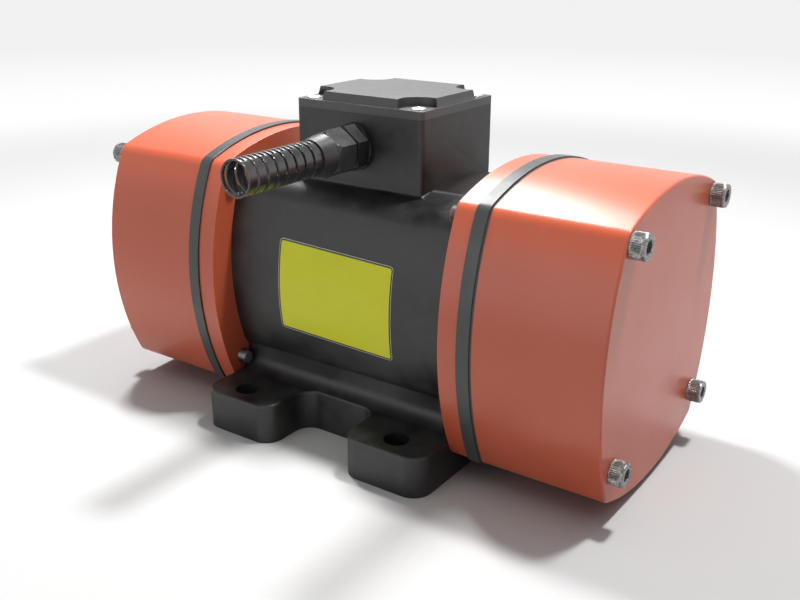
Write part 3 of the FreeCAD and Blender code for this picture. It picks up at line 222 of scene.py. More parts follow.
def shader_group(name: str, inputs: dict[str, float], outputs: Iterable[str]) -> tuple[Graph, Any, Any]:
    """Starts a shader group with named value sockets.

    Args:
        name: The group's name.
        inputs: Input names with their first values.
        outputs: Output names.

    Returns:
        The group's graph, its input node and its output node.
    """
    tree = bpy.data.node_groups.new(name, "ShaderNodeTree")
    for label, value in inputs.items():
        socket = tree.interface.new_socket(label, in_out="INPUT", socket_type="NodeSocketFloat")
        socket.default_value = value
    for label in outputs:
        tree.interface.new_socket(label, in_out="OUTPUT", socket_type="NodeSocketFloat")
    graph = Graph(tree)
    return graph, graph.add("NodeGroupInput"), graph.add("NodeGroupOutput")


class Effects:
    """Shader groups that several finishes share, each built once."""

    MOTTLE_RANGE = (0.25, 0.75)
    WEAR_AND_HIGHLIGHT_RANGE = (0.42, 0.62)
    PIT_SCALE = 0.7
    PIT_SHARE = 0.2

    @staticmethod
    @cache
    def mottle() -> bpy.types.NodeTree:
        """Cloudy variation of a cast or painted surface.

        Returns:
            The group, with Size in millimetres as input and Value as output.
        """
        graph, source, sink = shader_group("Mottle", {"Size": 20.0}, ["Value"])
        noise = graph.noise(source.outputs["Size"], 5.0, 0.6)
        graph.tree.links.new(graph.ramp(noise, *Effects.MOTTLE_RANGE), sink.inputs["Value"])
        return graph.tree

    @staticmethod
    @cache
    def grain() -> bpy.types.NodeTree:
        """Fine unevenness that feeds bumps and gloss.

        Returns:
            The group, with Size and Depth in millimetres as inputs, Value and Height as outputs.
        """
        graph, source, sink = shader_group("Grain", {"Size": 1.0, "Depth": 0.02}, ["Value", "Height"])
        noise = graph.noise(source.outputs["Size"], 3.0, 0.55)
        scale = graph.math("DIVIDE", Effects.PIT_SCALE / MM, source.outputs["Size"])
        pits = graph.add("TexVoronoi", {"Vector": graph.place(), "Scale": scale}).outputs["Distance"]
        blend = graph.math("ADD", graph.math("MULTIPLY", noise, 1.0 - Effects.PIT_SHARE),
                           graph.math("MULTIPLY", pits, Effects.PIT_SHARE))
        graph.tree.links.new(blend, sink.inputs["Value"])
        depth = graph.math("MULTIPLY", source.outputs["Depth"], MM)
        graph.tree.links.new(graph.math("MULTIPLY", blend, depth), sink.inputs["Height"])
        return graph.tree

    @staticmethod
    @cache
    def edge_wear_and_highlight() -> bpy.types.NodeTree:
        """Broken marks on the rounded edges of a piece, partly rubbing wear and partly a painted highlight.

        Returns:
            The group, with Amount and Size in millimetres as inputs and Mask as output.
        """
        graph, source, sink = shader_group("EdgeWear", {"Amount": 0.4, "Size": 2.5}, ["Mask"])
        rim = graph.add("Attribute", attribute_name=RIM, attribute_type="GEOMETRY").outputs["Fac"]
        marks = graph.ramp(graph.noise(source.outputs["Size"], 4.0, 0.65), *Effects.WEAR_AND_HIGHLIGHT_RANGE)
        mask = graph.math("MULTIPLY", graph.math("MULTIPLY", rim, marks), source.outputs["Amount"])
        graph.tree.links.new(mask, sink.inputs["Mask"])
        return graph.tree

    @staticmethod
    @cache
    def bands() -> bpy.types.NodeTree:
        """Fine parallel lines along one axis, as on turned or stacked parts.

        Returns:
            The group, with X, Y, Z weights and Pitch in millimetres as inputs and Value as output.
        """
        graph, source, sink = shader_group("Bands", {"X": 1.0, "Y": 0.0, "Z": 0.0, "Pitch": 0.5}, ["Value"])
        weights = graph.add("CombineXYZ", {axis: source.outputs[axis] for axis in "XYZ"}).outputs[0]
        along = graph.add("VectorMath", {0: graph.place(), 1: weights},
                          operation="DOT_PRODUCT").outputs["Value"]
        turns = graph.math("DIVIDE", along, graph.math("MULTIPLY", source.outputs["Pitch"], MM))
        wave = graph.math("SINE", graph.math("MULTIPLY", turns, 2 * math.pi))
        graph.tree.links.new(graph.ramp(wave, -1.0, 1.0), sink.inputs["Value"])
        return graph.tree


@dataclass(frozen=True)
class Finish:
    """A surface finish, made into one procedural material.

    Sizes are in millimetres; colours are linear.
    """

    UNEVEN_RANGE = (0.2, 0.8)
    MOTTLE_PART = 0.5

    name: str
    color: Color
    shade: Color
    shade_share: float = 0.5
    mottle_size: float = 18.0
    rough: tuple[float, float] = (0.4, 0.5)
    metallic: float = 0.0
    specular: float = 0.5
    coat: float = 0.0
    coat_rough: float = 0.1
    grain_size: float = 1.0
    grain_depth: float = 0.02
    # Colour mixed in on the rounded edges: partly wear, partly a painted highlight.
    worn_and_lit_edge_color: Optional[Color] = None
    wear_and_edge_highlight: float = 0.4
    band_axis: Optional[Axis] = None
    band_pitch: float = 0.5
    band_depth: float = 0.02

    @cache
    def material(self) -> bpy.types.Material:
        """Builds the material.

        Returns:
            The material, with the same one for each call.
        """
        material = bpy.data.materials.new(self.name)
        material.use_nodes = True
        material.node_tree.nodes.clear()
        graph = Graph(material.node_tree)
        mottle = graph.group(Effects.mottle(), {"Size": self.mottle_size})
        grain = graph.group(Effects.grain(), {"Size": self.grain_size, "Depth": self.grain_depth})
        share = graph.math("MULTIPLY", mottle.outputs["Value"], self.shade_share)
        color = graph.mix(share, self.color, self.shade)
        height = grain.outputs["Height"]
        if self.band_axis:
            weights = dict(zip("XYZ", self.band_axis.value))
            bands = graph.group(Effects.bands(), {**weights, "Pitch": self.band_pitch})
            lines = bands.outputs["Value"]
            height = graph.math("ADD", height, graph.math("MULTIPLY", lines, self.band_depth * MM))
            color = graph.mix(graph.math("MULTIPLY", lines, self.shade_share), color, self.shade)
        uneven = graph.math("ADD", graph.math("MULTIPLY", grain.outputs["Value"], 1.0 - self.MOTTLE_PART),
                            graph.math("MULTIPLY", mottle.outputs["Value"], self.MOTTLE_PART))
        rough = graph.ramp(uneven, *self.UNEVEN_RANGE, *self.rough)
        # The lighter colour on the rounded edges is partly edge wear and partly a painted highlight.
        if self.worn_and_lit_edge_color:
            wear_and_edge_highlight = graph.group(Effects.edge_wear_and_highlight(), {"Amount": self.wear_and_edge_highlight})
            color = graph.mix(wear_and_edge_highlight.outputs["Mask"], color, self.worn_and_lit_edge_color)
        bump = graph.add("Bump", {"Strength": 1.0, "Distance": 1.0, "Height": height})
        shader = graph.add("BsdfPrincipled", {
            "Base Color": color, "Roughness": rough, "Metallic": self.metallic,
            "Specular IOR Level": self.specular, "Coat Weight": self.coat,
            "Coat Roughness": self.coat_rough, "Normal": bump.outputs[0]})
        graph.add("OutputMaterial", {"Surface": shader.outputs[0]})
        return material


class Finishes:
    """All finishes of the motor."""

    # Its lighter worn colour on the rounded edges is partly wear and partly a painted edge highlight.
    ORANGE = Finish("OrangePaint", (0.61, 0.115, 0.052), (0.55, 0.1, 0.044), mottle_size=60.0,
                    rough=(0.3, 0.34), specular=0.65, grain_size=0.8, grain_depth=0.004,
                    worn_and_lit_edge_color=(0.8, 0.3, 0.2), wear_and_edge_highlight=0.25)
    CHARCOAL = Finish("CharcoalPaint", (0.002, 0.002, 0.0021), (0.025, 0.0245, 0.0245), mottle_size=13.0,
                      shade_share=0.95, rough=(0.41, 0.52), specular=0.6, grain_size=1.6, grain_depth=0.014)
    LID = Finish("LidPaint", (0.03, 0.03, 0.0302), (0.046, 0.046, 0.0464), mottle_size=16.0,
                 rough=(0.4, 0.48), specular=0.8, grain_size=1.6, grain_depth=0.006)
    GASKET = Finish("GreyGasket", (0.06, 0.064, 0.062), (0.048, 0.052, 0.051), mottle_size=9.0,
                    rough=(0.32, 0.42), specular=0.5, grain_size=0.5, grain_depth=0.004)
    RUBBER = Finish("BlackRubber", (0.02, 0.02, 0.021), (0.03, 0.03, 0.031), mottle_size=5.0,
                    rough=(0.55, 0.7), grain_size=0.4, grain_depth=0.01)
    PLASTIC = Finish("BlackPlastic", (0.028, 0.028, 0.029), (0.06, 0.061, 0.062), mottle_size=9.0,
                     rough=(0.36, 0.46), specular=0.55, grain_size=0.9, grain_depth=0.001)
    TAIL = Finish("GlossyPlastic", (0.03, 0.03, 0.031), (0.055, 0.056, 0.057), mottle_size=9.0,
                  rough=(0.16, 0.24), specular=0.9, grain_size=0.9, grain_depth=0.001)
    # Darker copy of the black plastic for the gland body: painted shade where the terminal box shades it.
    SHADE_PAINTED_PLASTIC = Finish("DullPlastic", (0.008, 0.008, 0.008), (0.014, 0.014, 0.014), mottle_size=9.0,
                    rough=(0.45, 0.55), specular=0.35, grain_size=0.9, grain_depth=0.001)
    ZINC = Finish("ZincSteel", (0.44, 0.44, 0.43), (0.1, 0.1, 0.1), mottle_size=1.1, shade_share=0.9,
                  rough=(0.34, 0.54), metallic=0.8, grain_size=0.6, grain_depth=0.04)
    THREAD = Finish("ThreadZinc", (0.3, 0.3, 0.295), (0.2, 0.2, 0.197), mottle_size=2.0,
                    rough=(0.34, 0.44), metallic=0.8, grain_size=0.5, grain_depth=0.004)
    BRIGHT = Finish("BrightZinc", (0.62, 0.62, 0.61), (0.5, 0.5, 0.49), mottle_size=3.0,
                    rough=(0.3, 0.4), metallic=0.7, grain_size=0.5, grain_depth=0.001)
    STEEL = Finish("TurnedSteel", (0.52, 0.53, 0.55), (0.38, 0.39, 0.41), mottle_size=14.0,
                   rough=(0.25, 0.36), metallic=1.0, band_axis=Axis.X, band_pitch=0.4, band_depth=0.004)
    BEARING = Finish("GroundSteel", (0.66, 0.67, 0.69), (0.56, 0.57, 0.6), mottle_size=10.0,
                     rough=(0.12, 0.2), metallic=1.0, grain_size=0.3, grain_depth=0.001)
    IRON = Finish("CastIron", (0.17, 0.17, 0.175), (0.1, 0.1, 0.105), mottle_size=7.0,
                  rough=(0.45, 0.65), metallic=0.8, grain_size=0.9, grain_depth=0.04)
    SHEETS = Finish("CoreSheets", (0.2, 0.2, 0.21), (0.09, 0.09, 0.1), mottle_size=9.0,
                    rough=(0.4, 0.55), metallic=0.9, band_axis=Axis.X, band_pitch=0.65, band_depth=0.05)
    ALUMINIUM = Finish("CastAluminium", (0.62, 0.63, 0.65), (0.48, 0.49, 0.51), mottle_size=8.0,
                       rough=(0.35, 0.5), metallic=1.0, grain_size=0.7, grain_depth=0.02)
    COPPER = Finish("VarnishedCopper", (0.5, 0.14, 0.045), (0.25, 0.05, 0.015), mottle_size=6.0,
                    rough=(0.25, 0.4), metallic=0.7, coat=0.5, band_axis=Axis.Z, band_pitch=0.9,
                    band_depth=0.2)
    BRASS = Finish("Brass", (0.7, 0.46, 0.16), (0.5, 0.32, 0.1), mottle_size=5.0,
                   rough=(0.22, 0.35), metallic=1.0, grain_size=0.5, grain_depth=0.008)
    BROWN = Finish("BrownPlastic", (0.09, 0.045, 0.03), (0.06, 0.03, 0.02), mottle_size=6.0,
                   rough=(0.35, 0.5), grain_size=0.6, grain_depth=0.01)
    YELLOW = Finish("YellowFilm", (0.8, 0.82, 0.01), (0.75, 0.77, 0.01), mottle_size=12.0,
                    rough=(0.36, 0.44), grain_size=0.7, grain_depth=0.002)
    PRINT = Finish("BlackPrint", (0.014, 0.014, 0.014), (0.022, 0.022, 0.022), mottle_size=6.0,
                   rough=(0.4, 0.5), grain_size=0.5, grain_depth=0.002)
    # White ring round the plate: partly a printed margin, partly a painted highlight along the plate's edge.
    MARGIN_AND_EDGE_HIGHLIGHT = Finish("WhiteFilm", (0.75, 0.76, 0.74), (0.66, 0.67, 0.65), mottle_size=8.0,
                    rough=(0.4, 0.5), grain_size=0.5, grain_depth=0.002)


SLOT_FINISHES: dict[str, Finish] = {
    "body_paint": Finishes.CHARCOAL, "cover_paint": Finishes.ORANGE, "zinc_steel": Finishes.ZINC,
    "bearing_steel": Finishes.BEARING, "gland_plastic": Finishes.PLASTIC, "gasket_rubber": Finishes.GASKET,
    "seal_rubber": Finishes.RUBBER, "core_steel": Finishes.SHEETS, "weight_iron": Finishes.IRON,
    "shaft_steel": Finishes.STEEL, "cage_metal": Finishes.ALUMINIUM, "copper_coil": Finishes.COPPER,
    "terminal_brass": Finishes.BRASS, "block_plastic": Finishes.BROWN,
}


# Mesh tools


@dataclass
class Piece:
    """A mesh that is being made, and its way into the scene."""

    name: str
    body: str
    slot: str
    finishes: list[Finish]
    replaced: tuple[str, ...] = ()
    crease: float = 40.0
    mesh: bmesh.types.BMesh = field(default_factory=bmesh.new)

    def finish(self) -> bpy.types.Object:
        """Makes the object, dresses it and lets it ride.

        Returns:
            The finished object.
        """
        for face in self.mesh.faces:
            face.smooth = True
        data = bpy.data.meshes.new(self.name)
        self.mesh.to_mesh(data)
        self.mesh.free()
        data.set_sharp_from_angle(angle=math.radians(self.crease))
        for finish in self.finishes:
            data.materials.append(finish.material())
        piece = bpy.data.objects.new(self.name, data)
        bpy.context.scene.collection.objects.link(piece)
        weigh = piece.modifiers.new("EvenNormals", "WEIGHTED_NORMAL")
        weigh.keep_sharp = True
        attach(piece, self.body)
        if self.replaced:
            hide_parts(*self.replaced)
        LOG.info("%s: %d faces on %s", self.name, len(data.polygons), self.body)
        return piece


def round_edges(mesh: bmesh.types.BMesh, width: float, angle: float, steps: int = 2,
                wanted: Optional[Callable[[bmesh.types.BMEdge], bool]] = None) -> None:
    """Rounds the outer edges of a closed mesh and marks the new faces as its rim.

    Args:
        mesh: The mesh to change.
        width: Width of the rounding in millimetres.
        angle: Least angle between two faces whose edge is rounded, in degrees.
        steps: Segments across the rounding.
        wanted: Tells which edges may be rounded.
    """
    layer = mesh.faces.layers.float.get(RIM) or mesh.faces.layers.float.new(RIM)
    limit = math.radians(angle)
    edges = [edge for edge in mesh.edges
             if edge.is_manifold and edge.calc_face_angle_signed(0.0) > limit
             and (wanted is None or wanted(edge))]
    result = bmesh.ops.bevel(mesh, geom=edges, offset=width * MM, offset_type="OFFSET", affect="EDGES",
                             segments=steps, profile=0.5, material=-1, clamp_overlap=True, loop_slide=True)
    for face in result["faces"]:
        face[layer] = 1.0


def node_mesh(node: str, merge_flats: bool = True) -> bmesh.types.BMesh:
    """Copies a CAD node's triangles and merges them into a clean closed mesh.

    Args:
        node: The CAD node.
        merge_flats: Whether triangles in one plane become one face.

    Returns:
        The merged copy.
    """
    mesh = bmesh.new()
    mesh.from_mesh(frame["nodes"][node].data)
    bmesh.ops.remove_doubles(mesh, verts=mesh.verts, dist=WELD)
    bmesh.ops.dissolve_degenerate(mesh, dist=SLIVER, edges=mesh.edges)
    if merge_flats:
        bmesh.ops.dissolve_limit(mesh, angle_limit=math.radians(FLAT_ANGLE), verts=mesh.verts,
                                 edges=mesh.edges)
    return mesh


def cut(mesh: bmesh.types.BMesh, place: Place, normal: Place, parts: Optional[list[Any]] = None,
        clear_outer: bool = False) -> None:
    """Cuts a mesh with a plane.

    Args:
        mesh: The mesh to cut.
        place: A point of the plane, in metres.
        normal: The plane's normal.
        parts: The faces, edges and vertices to cut, or None for all.
        clear_outer: Whether what lies on the normal's side is taken away.
    """
    bmesh.ops.bisect_plane(mesh, geom=parts or mesh.verts[:] + mesh.edges[:] + mesh.faces[:], dist=CUT_REACH,
                           plane_co=place, plane_no=normal, clear_outer=clear_outer)


def record_slot(node: str) -> str:
    """Returns the material slot that the record gives a CAD node."""
    return next(part["material_slot"] for part in frame["record"]["subparts"] if part["node"] == node)


@dataclass
class Casting:
    """A CAD node taken over with rounded edges and a finish, in millimetres and degrees."""

    node: str
    width: float
    steps: int = 2
    angle: float = 35.0
    crease: float = 40.0
    merge_flats: bool = True
    crisp_height: Optional[float] = None
    crisp_reach: float = 0.1
    coat: Optional[Finish] = None
    shape: Optional[Callable[[bmesh.types.BMesh], None]] = None

    def outer(self, edge: bmesh.types.BMEdge) -> bool:
        """Tells whether an edge is away from the crisp joint.

        Args:
            edge: An edge of the mesh.

        Returns:
            False when the whole edge lies in the joint.
        """
        if self.crisp_height is None:
            return True
        return any(abs(vert.co.z / MM - self.crisp_height) > self.crisp_reach for vert in edge.verts)

    def build(self) -> bpy.types.Object:
        """Builds the piece that stands for the node.

        Returns:
            The finished object.
        """
        slot = record_slot(self.node)
        piece = Piece(self.node + "_dressed", frame["nodes"][self.node]["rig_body"], slot,
                      [self.coat or SLOT_FINISHES[slot]], (self.node,), crease=self.crease,
                      mesh=node_mesh(self.node, self.merge_flats))
        if self.shape:
            self.shape(piece.mesh)
        round_edges(piece.mesh, self.width, self.angle, self.steps, self.outer)
        return piece.finish()


def round_shape(radius: float) -> Shape:
    """Returns a circle as a radius by angle, in millimetres."""
    return lambda angle: radius


def hexagon_shape(half_flats: float) -> Shape:
    """Returns a hexagon of that half width across flats as a radius by angle, in millimetres."""
    sector = math.pi / 3
    return lambda angle: half_flats / math.cos((angle + sector / 2) % sector - sector / 2)


class Spindle:
    """A closed skin drawn over loops of equal count along an axis, which is its own z."""

    def __init__(self, mesh: bmesh.types.BMesh, count: int) -> None:
        """Starts an empty spindle.

        Args:
            mesh: The mesh that takes the skin.
            count: Points of each loop.
        """
        self.mesh = mesh
        self.count = count
        self.loops: list[list[bmesh.types.BMVert]] = []

    @staticmethod
    def ring_edges(ring: list[bmesh.types.BMVert]) -> list[bmesh.types.BMEdge]:
        """Finds the edges between the points of a loop.

        Args:
            ring: The loop's vertices.

        Returns:
            Its edges, in a fixed order.
        """
        verts = set(ring)
        edges = dict.fromkeys(edge for vert in ring for edge in vert.link_edges)
        return [edge for edge in edges if edge.verts[0] in verts and edge.verts[1] in verts]

    def loop(self, height: float, shape: Shape, ridge: float = 0.0) -> None:
        """Adds a loop: the first is a circle, and each later one is extruded from the last.

        Args:
            height: Place along the axis, in millimetres.
            shape: Radius by angle.
            ridge: How far every second point stands in, in millimetres.
        """
        if not self.loops:
            ring = bmesh.ops.create_circle(self.mesh, cap_ends=False, radius=1.0,
                                           segments=self.count)["verts"]
        else:
            made = bmesh.ops.extrude_edge_only(self.mesh, edges=self.ring_edges(self.loops[-1]))["geom"]
            ring = [item for item in made if isinstance(item, bmesh.types.BMVert)]
        for vert in ring:
            angle = math.atan2(vert.co.y, vert.co.x)
            number = round(angle / (2 * math.pi) * self.count)
            radius = (shape(angle) - ridge * (number % 2)) * MM
            vert.co = (radius * math.cos(angle), radius * math.sin(angle), height * MM)
        self.loops.append(ring)

    def close(self) -> list[bmesh.types.BMVert]:
        """Closes both ends and turns the faces outward.

        Returns:
            All vertices of the spindle.
        """
        for ring in (self.loops[0], self.loops[-1]):
            bmesh.ops.edgeloop_fill(self.mesh, edges=self.ring_edges(ring))
        verts = [vert for ring in self.loops for vert in ring]
        faces = dict.fromkeys(face for vert in verts for face in vert.link_faces)
        bmesh.ops.recalc_face_normals(self.mesh, faces=list(faces))
        return verts


# Sub-assemblies


@dataclass
class Covers:
    """One end of the motor: shield, gasket, cover and long screws, whose turns are in radians."""

    side: Side
    axis_height: float = 83.0
    screw_across: float = 52.0
    screw_upward: float = 53.4
    seat: float = 154.2
    tip: float = 66.8
    thread_end: float = 76.0
    thread_pitch: float = 1.25
    thread_depth: float = 0.6
    shank: float = 3.5
    shank_relief: float = 0.05
    tip_length: float = 0.7
    tip_chamfer: float = 0.9
    head: float = 6.0
    head_height: float = 7.2
    head_foot: Profile = ((0.0, 0.35), (0.3, 0.05))
    head_crown: Profile = ((1.2, 0.08), (0.5, 0.1), (0.15, 0.28), (0.0, 0.6))
    knurl: float = 0.32
    knurl_start: float = 0.55
    knurl_stop: float = 1.45
    knurl_rows: int = 5
    socket: float = 3.0
    socket_lead: float = 0.3
    socket_lip: float = 0.35
    socket_depth: float = 4.0
    drill_depth: float = 0.8
    drill: float = 0.4
    first_turn: float = 0.3
    next_turn: float = 0.9
    points: int = 84

    def build(self) -> None:
        """Builds the pieces of this end."""
        Casting(self.side.node("end_shield"), width=0.3).build()
        Casting(self.side.node("cover_gasket"), width=0.15, steps=1).build()
        Casting(self.side.node("weight_cover"), width=0.3, angle=50.0).build()
        self.screws()

    def screw(self, mesh: bmesh.types.BMesh) -> list[bmesh.types.BMVert]:
        """Models one screw along its own z, from tip to head.

        Args:
            mesh: The mesh that takes the screw.

        Returns:
            The screw's vertices.
        """
        spindle = Spindle(mesh, self.points)
        spindle.loop(self.tip, round_shape(self.shank - self.tip_chamfer))
        height = self.tip + self.tip_length
        while height < self.thread_end:
            spindle.loop(height, round_shape(self.shank))
            spindle.loop(height + self.thread_pitch / 2, round_shape(self.shank - self.thread_depth))
            height += self.thread_pitch
        spindle.loop(height, round_shape(self.shank - self.shank_relief))
        spindle.loop(self.seat, round_shape(self.shank - self.shank_relief))
        top = self.seat + self.head_height
        for rise, inset in self.head_foot:
            spindle.loop(self.seat + rise, round_shape(self.head - inset))
        knurled = self.head_height - self.knurl_start - self.knurl_stop
        for row in range(self.knurl_rows + 1):
            rise = self.knurl_start + knurled * row / self.knurl_rows
            spindle.loop(self.seat + rise, round_shape(self.head), self.knurl)
        for drop, inset in self.head_crown:
            spindle.loop(top - drop, round_shape(self.head - inset))
        spindle.loop(top, round_shape(self.socket * HEXAGON_CORNER + self.socket_lip))
        spindle.loop(top - self.socket_lead, hexagon_shape(self.socket))
        spindle.loop(top - self.socket_depth, hexagon_shape(self.socket))
        spindle.loop(top - self.socket_depth - self.drill_depth, round_shape(self.drill))
        verts = spindle.close()
        for face in dict.fromkeys(face for vert in verts for face in vert.link_faces):
            face.material_index = int(face.calc_center_median().z < self.thread_end * MM)
        return verts

    def screws(self) -> None:
        """Places the four long screws of this end."""
        node = self.side.node("cover_screws")
        piece = Piece(node + "_knurled", frame["nodes"][node]["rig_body"], "zinc_steel",
                      [Finishes.ZINC, Finishes.THREAD], (node,))
        lay = Matrix.Rotation(math.pi / 2, 4, "Y")
        for number, (across, upward) in enumerate(((-1, -1), (-1, 1), (1, -1), (1, 1))):
            rise = self.axis_height + upward * self.screw_upward
            place = Vector((0.0, across * self.screw_across, rise)) * MM
            spin = Matrix.Rotation(self.first_turn + self.next_turn * number, 4, "Z")
            matrix = self.side.turn() @ Matrix.Translation(place) @ lay @ spin
            bmesh.ops.transform(piece.mesh, matrix=matrix, verts=self.screw(piece.mesh))
        piece.finish()


@dataclass
class Body:
    """Cast body with feet and terminal box."""

    half_size: float = 56.8
    bow_radius: float = 130.0
    axis_height: float = 83.0
    box_reach: float = 40.0
    box_foot: float = 130.0
    wall_lean: float = 0.3
    wall_cuts: tuple[float, ...] = (137.0, 171.5)

    def build(self) -> None:
        """Builds the housing."""
        Casting("motor_housing", width=0.25, angle=40.0, crisp_height=TerminalBox.joint_low,
                shape=self.part_walls).build()

    def is_box_wall(self, face: bmesh.types.BMFace) -> bool:
        """Tells whether a face belongs to the upright walls of the terminal box.

        Args:
            face: A face of the housing.

        Returns:
            True for a wall.
        """
        middle = face.calc_center_median() / MM
        upright = abs(face.normal.z) < self.wall_lean
        return upright and abs(middle.x) < self.box_reach and middle.z > self.box_foot

    def part_walls(self, mesh: bmesh.types.BMesh) -> None:
        """Parts the box's walls near foot and rim, so that their long faces shade evenly.

        Args:
            mesh: The housing's mesh.
        """
        for height in self.wall_cuts:
            walls = [face for face in mesh.faces if self.is_box_wall(face)]
            edges = dict.fromkeys(edge for face in walls for edge in face.edges)
            verts = dict.fromkeys(vert for face in walls for vert in face.verts)
            cut(mesh, (0.0, 0.0, height * MM), (0.0, 0.0, 1.0), [*walls, *edges, *verts])

    def front(self, height: float) -> float:
        """Returns the y of the bowed front at a height, in millimetres."""
        rise = height - self.axis_height
        return -(self.half_size - self.bow_radius + math.sqrt(self.bow_radius ** 2 - rise ** 2))


@dataclass
class Plate:
    """Bare yellow plate with a thin dark line and a white ring, partly a printed margin and partly a painted
    edge highlight, bent to the body.
    """

    FINISHES = (Finishes.YELLOW, Finishes.PRINT, Finishes.MARGIN_AND_EDGE_HIGHLIGHT)
    LINE_SLOT = 1
    MARGIN_AND_HIGHLIGHT_SLOT = 2

    body: Body
    across: float = -1.2
    upward: float = 80.4
    width: float = 73.0
    height: float = 51.0
    turn: float = 2.0
    corner: float = 2.2
    margin_and_highlight_width: float = 0.25
    line: float = 0.8
    thickness: float = 0.25
    gap: float = 0.02
    field_area: float = 1e-3
    corner_steps: int = 6
    cuts: int = 24

    def build(self) -> None:
        """Builds the plate."""
        piece = Piece("front_plate", "housing", "body_paint", list(self.FINISHES), crease=60.0)
        mesh = piece.mesh
        bmesh.ops.create_grid(mesh, x_segments=1, y_segments=1, size=0.5)
        bmesh.ops.scale(mesh, vec=(self.width * MM, self.height * MM, 1.0), verts=mesh.verts)
        bmesh.ops.bevel(mesh, geom=mesh.verts[:], offset=self.corner * MM, offset_type="OFFSET",
                        affect="VERTICES", segments=self.corner_steps, profile=0.5, material=-1)
        # The outer white ring is partly a printed margin and partly a painted highlight along the edge.
        for material, width in ((self.MARGIN_AND_HIGHLIGHT_SLOT, self.margin_and_highlight_width), (self.LINE_SLOT, self.line)):
            middle = [face for face in mesh.faces if face.calc_area() > self.field_area]
            ring = bmesh.ops.inset_region(mesh, faces=middle, thickness=width * MM,
                                          use_even_offset=True, use_boundary=True)
            for face in ring["faces"]:
                face.material_index = material
        for number in range(1, self.cuts):
            level = (number / self.cuts - 0.5) * self.height * MM
            cut(mesh, (0.0, level, 0.0), (0.0, 1.0, 0.0))
        made = bmesh.ops.extrude_face_region(mesh, geom=mesh.faces[:])["geom"]
        raised = [item for item in made if isinstance(item, bmesh.types.BMVert)]
        bmesh.ops.translate(mesh, vec=(0.0, 0.0, self.thickness * MM), verts=raised)
        stand = Matrix.Rotation(math.pi / 2, 4, "X") @ Matrix.Rotation(-math.radians(self.turn), 4, "Z")
        bmesh.ops.transform(mesh, matrix=stand, verts=mesh.verts)
        bmesh.ops.translate(mesh, vec=(self.across * MM, 0.0, self.upward * MM), verts=mesh.verts)
        for vert in mesh.verts:
            vert.co.y += (self.body.front(vert.co.z / MM) + self.gap) * MM
        bmesh.ops.recalc_face_normals(mesh, faces=mesh.faces)
        piece.finish()


@dataclass
class TerminalBox:
    """Lid with its seal and low screws."""

    joint_low: float = 172.4
    joint_high: float = 173.2
    seal_growth: float = 0.55
    corner: float = 2.45
    corner_steps: int = 6
    plate_top: float = 177.3
    cad_head: float = 4.4
    head: float = 3.9
    head_height: float = 0.75
    head_profile: Profile = ((0.0, 0.1), (0.4, 0.0), (0.75, 0.3), (1.0, 1.2))
    shank: float = 2.4
    shank_length: float = 13.8
    tip_chamfer: float = 0.5
    socket: float = 1.6
    socket_lip: float = 0.1
    socket_lead: float = 0.15
    socket_depth: float = 1.0
    points: int = 48

    def build(self) -> None:
        """Builds the lid with its seal and screws."""
        Casting("terminal_lid", width=0.25, angle=12.0, crisp_height=self.joint_high,
                coat=Finishes.LID).build()
        self.seal()
        self.screws()

    def seal(self) -> None:
        """Spreads the lid's seal until it is flush with the box."""
        low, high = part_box("lid_gasket")
        centre = (Vector(low) + Vector(high)) / 2
        half = (Vector(high) - Vector(low)) / 2
        piece = Piece("lid_seal", "housing", "seal_rubber", [Finishes.CHARCOAL], ("lid_gasket",),
                      mesh=node_mesh("lid_gasket"))
        reach = half.xy + Vector((self.seal_growth, self.seal_growth)) * MM
        grown = (reach.x / half.x, reach.y / half.y, 1.0)
        bmesh.ops.scale(piece.mesh, vec=grown, space=Matrix.Translation(-centre), verts=piece.mesh.verts)
        corners = [edge for edge in piece.mesh.edges
                   if all(abs(vert.co.x - centre.x) > reach.x - 10 * WELD
                          and abs(vert.co.y - centre.y) > reach.y - 10 * WELD for vert in edge.verts)]
        bmesh.ops.bevel(piece.mesh, geom=corners, offset=self.corner * MM, offset_type="OFFSET",
                        affect="EDGES", segments=self.corner_steps, profile=0.5, material=-1)
        piece.finish()

    def screws(self) -> None:
        """Models the four low screws in the lid's recesses."""
        low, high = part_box("lid_screws")
        piece = Piece("lid_screws_low", "housing", "zinc_steel", [Finishes.BRIGHT], ("lid_screws",))
        for across in (low[0] + self.cad_head * MM, high[0] - self.cad_head * MM):
            for deep in (low[1] + self.cad_head * MM, high[1] - self.cad_head * MM):
                spindle = Spindle(piece.mesh, self.points)
                spindle.loop(-self.shank_length, round_shape(self.shank - self.tip_chamfer))
                spindle.loop(0.0, round_shape(self.shank))
                for share, inset in self.head_profile:
                    spindle.loop(self.head_height * share, round_shape(self.head - inset))
                spindle.loop(self.head_height, round_shape(self.socket * HEXAGON_CORNER + self.socket_lip))
                spindle.loop(self.head_height - self.socket_lead, hexagon_shape(self.socket))
                spindle.loop(self.head_height - self.socket_depth, hexagon_shape(self.socket))
                place = Matrix.Translation((across, deep, self.plate_top * MM))
                bmesh.ops.transform(piece.mesh, matrix=place, verts=spindle.close())
        piece.finish()


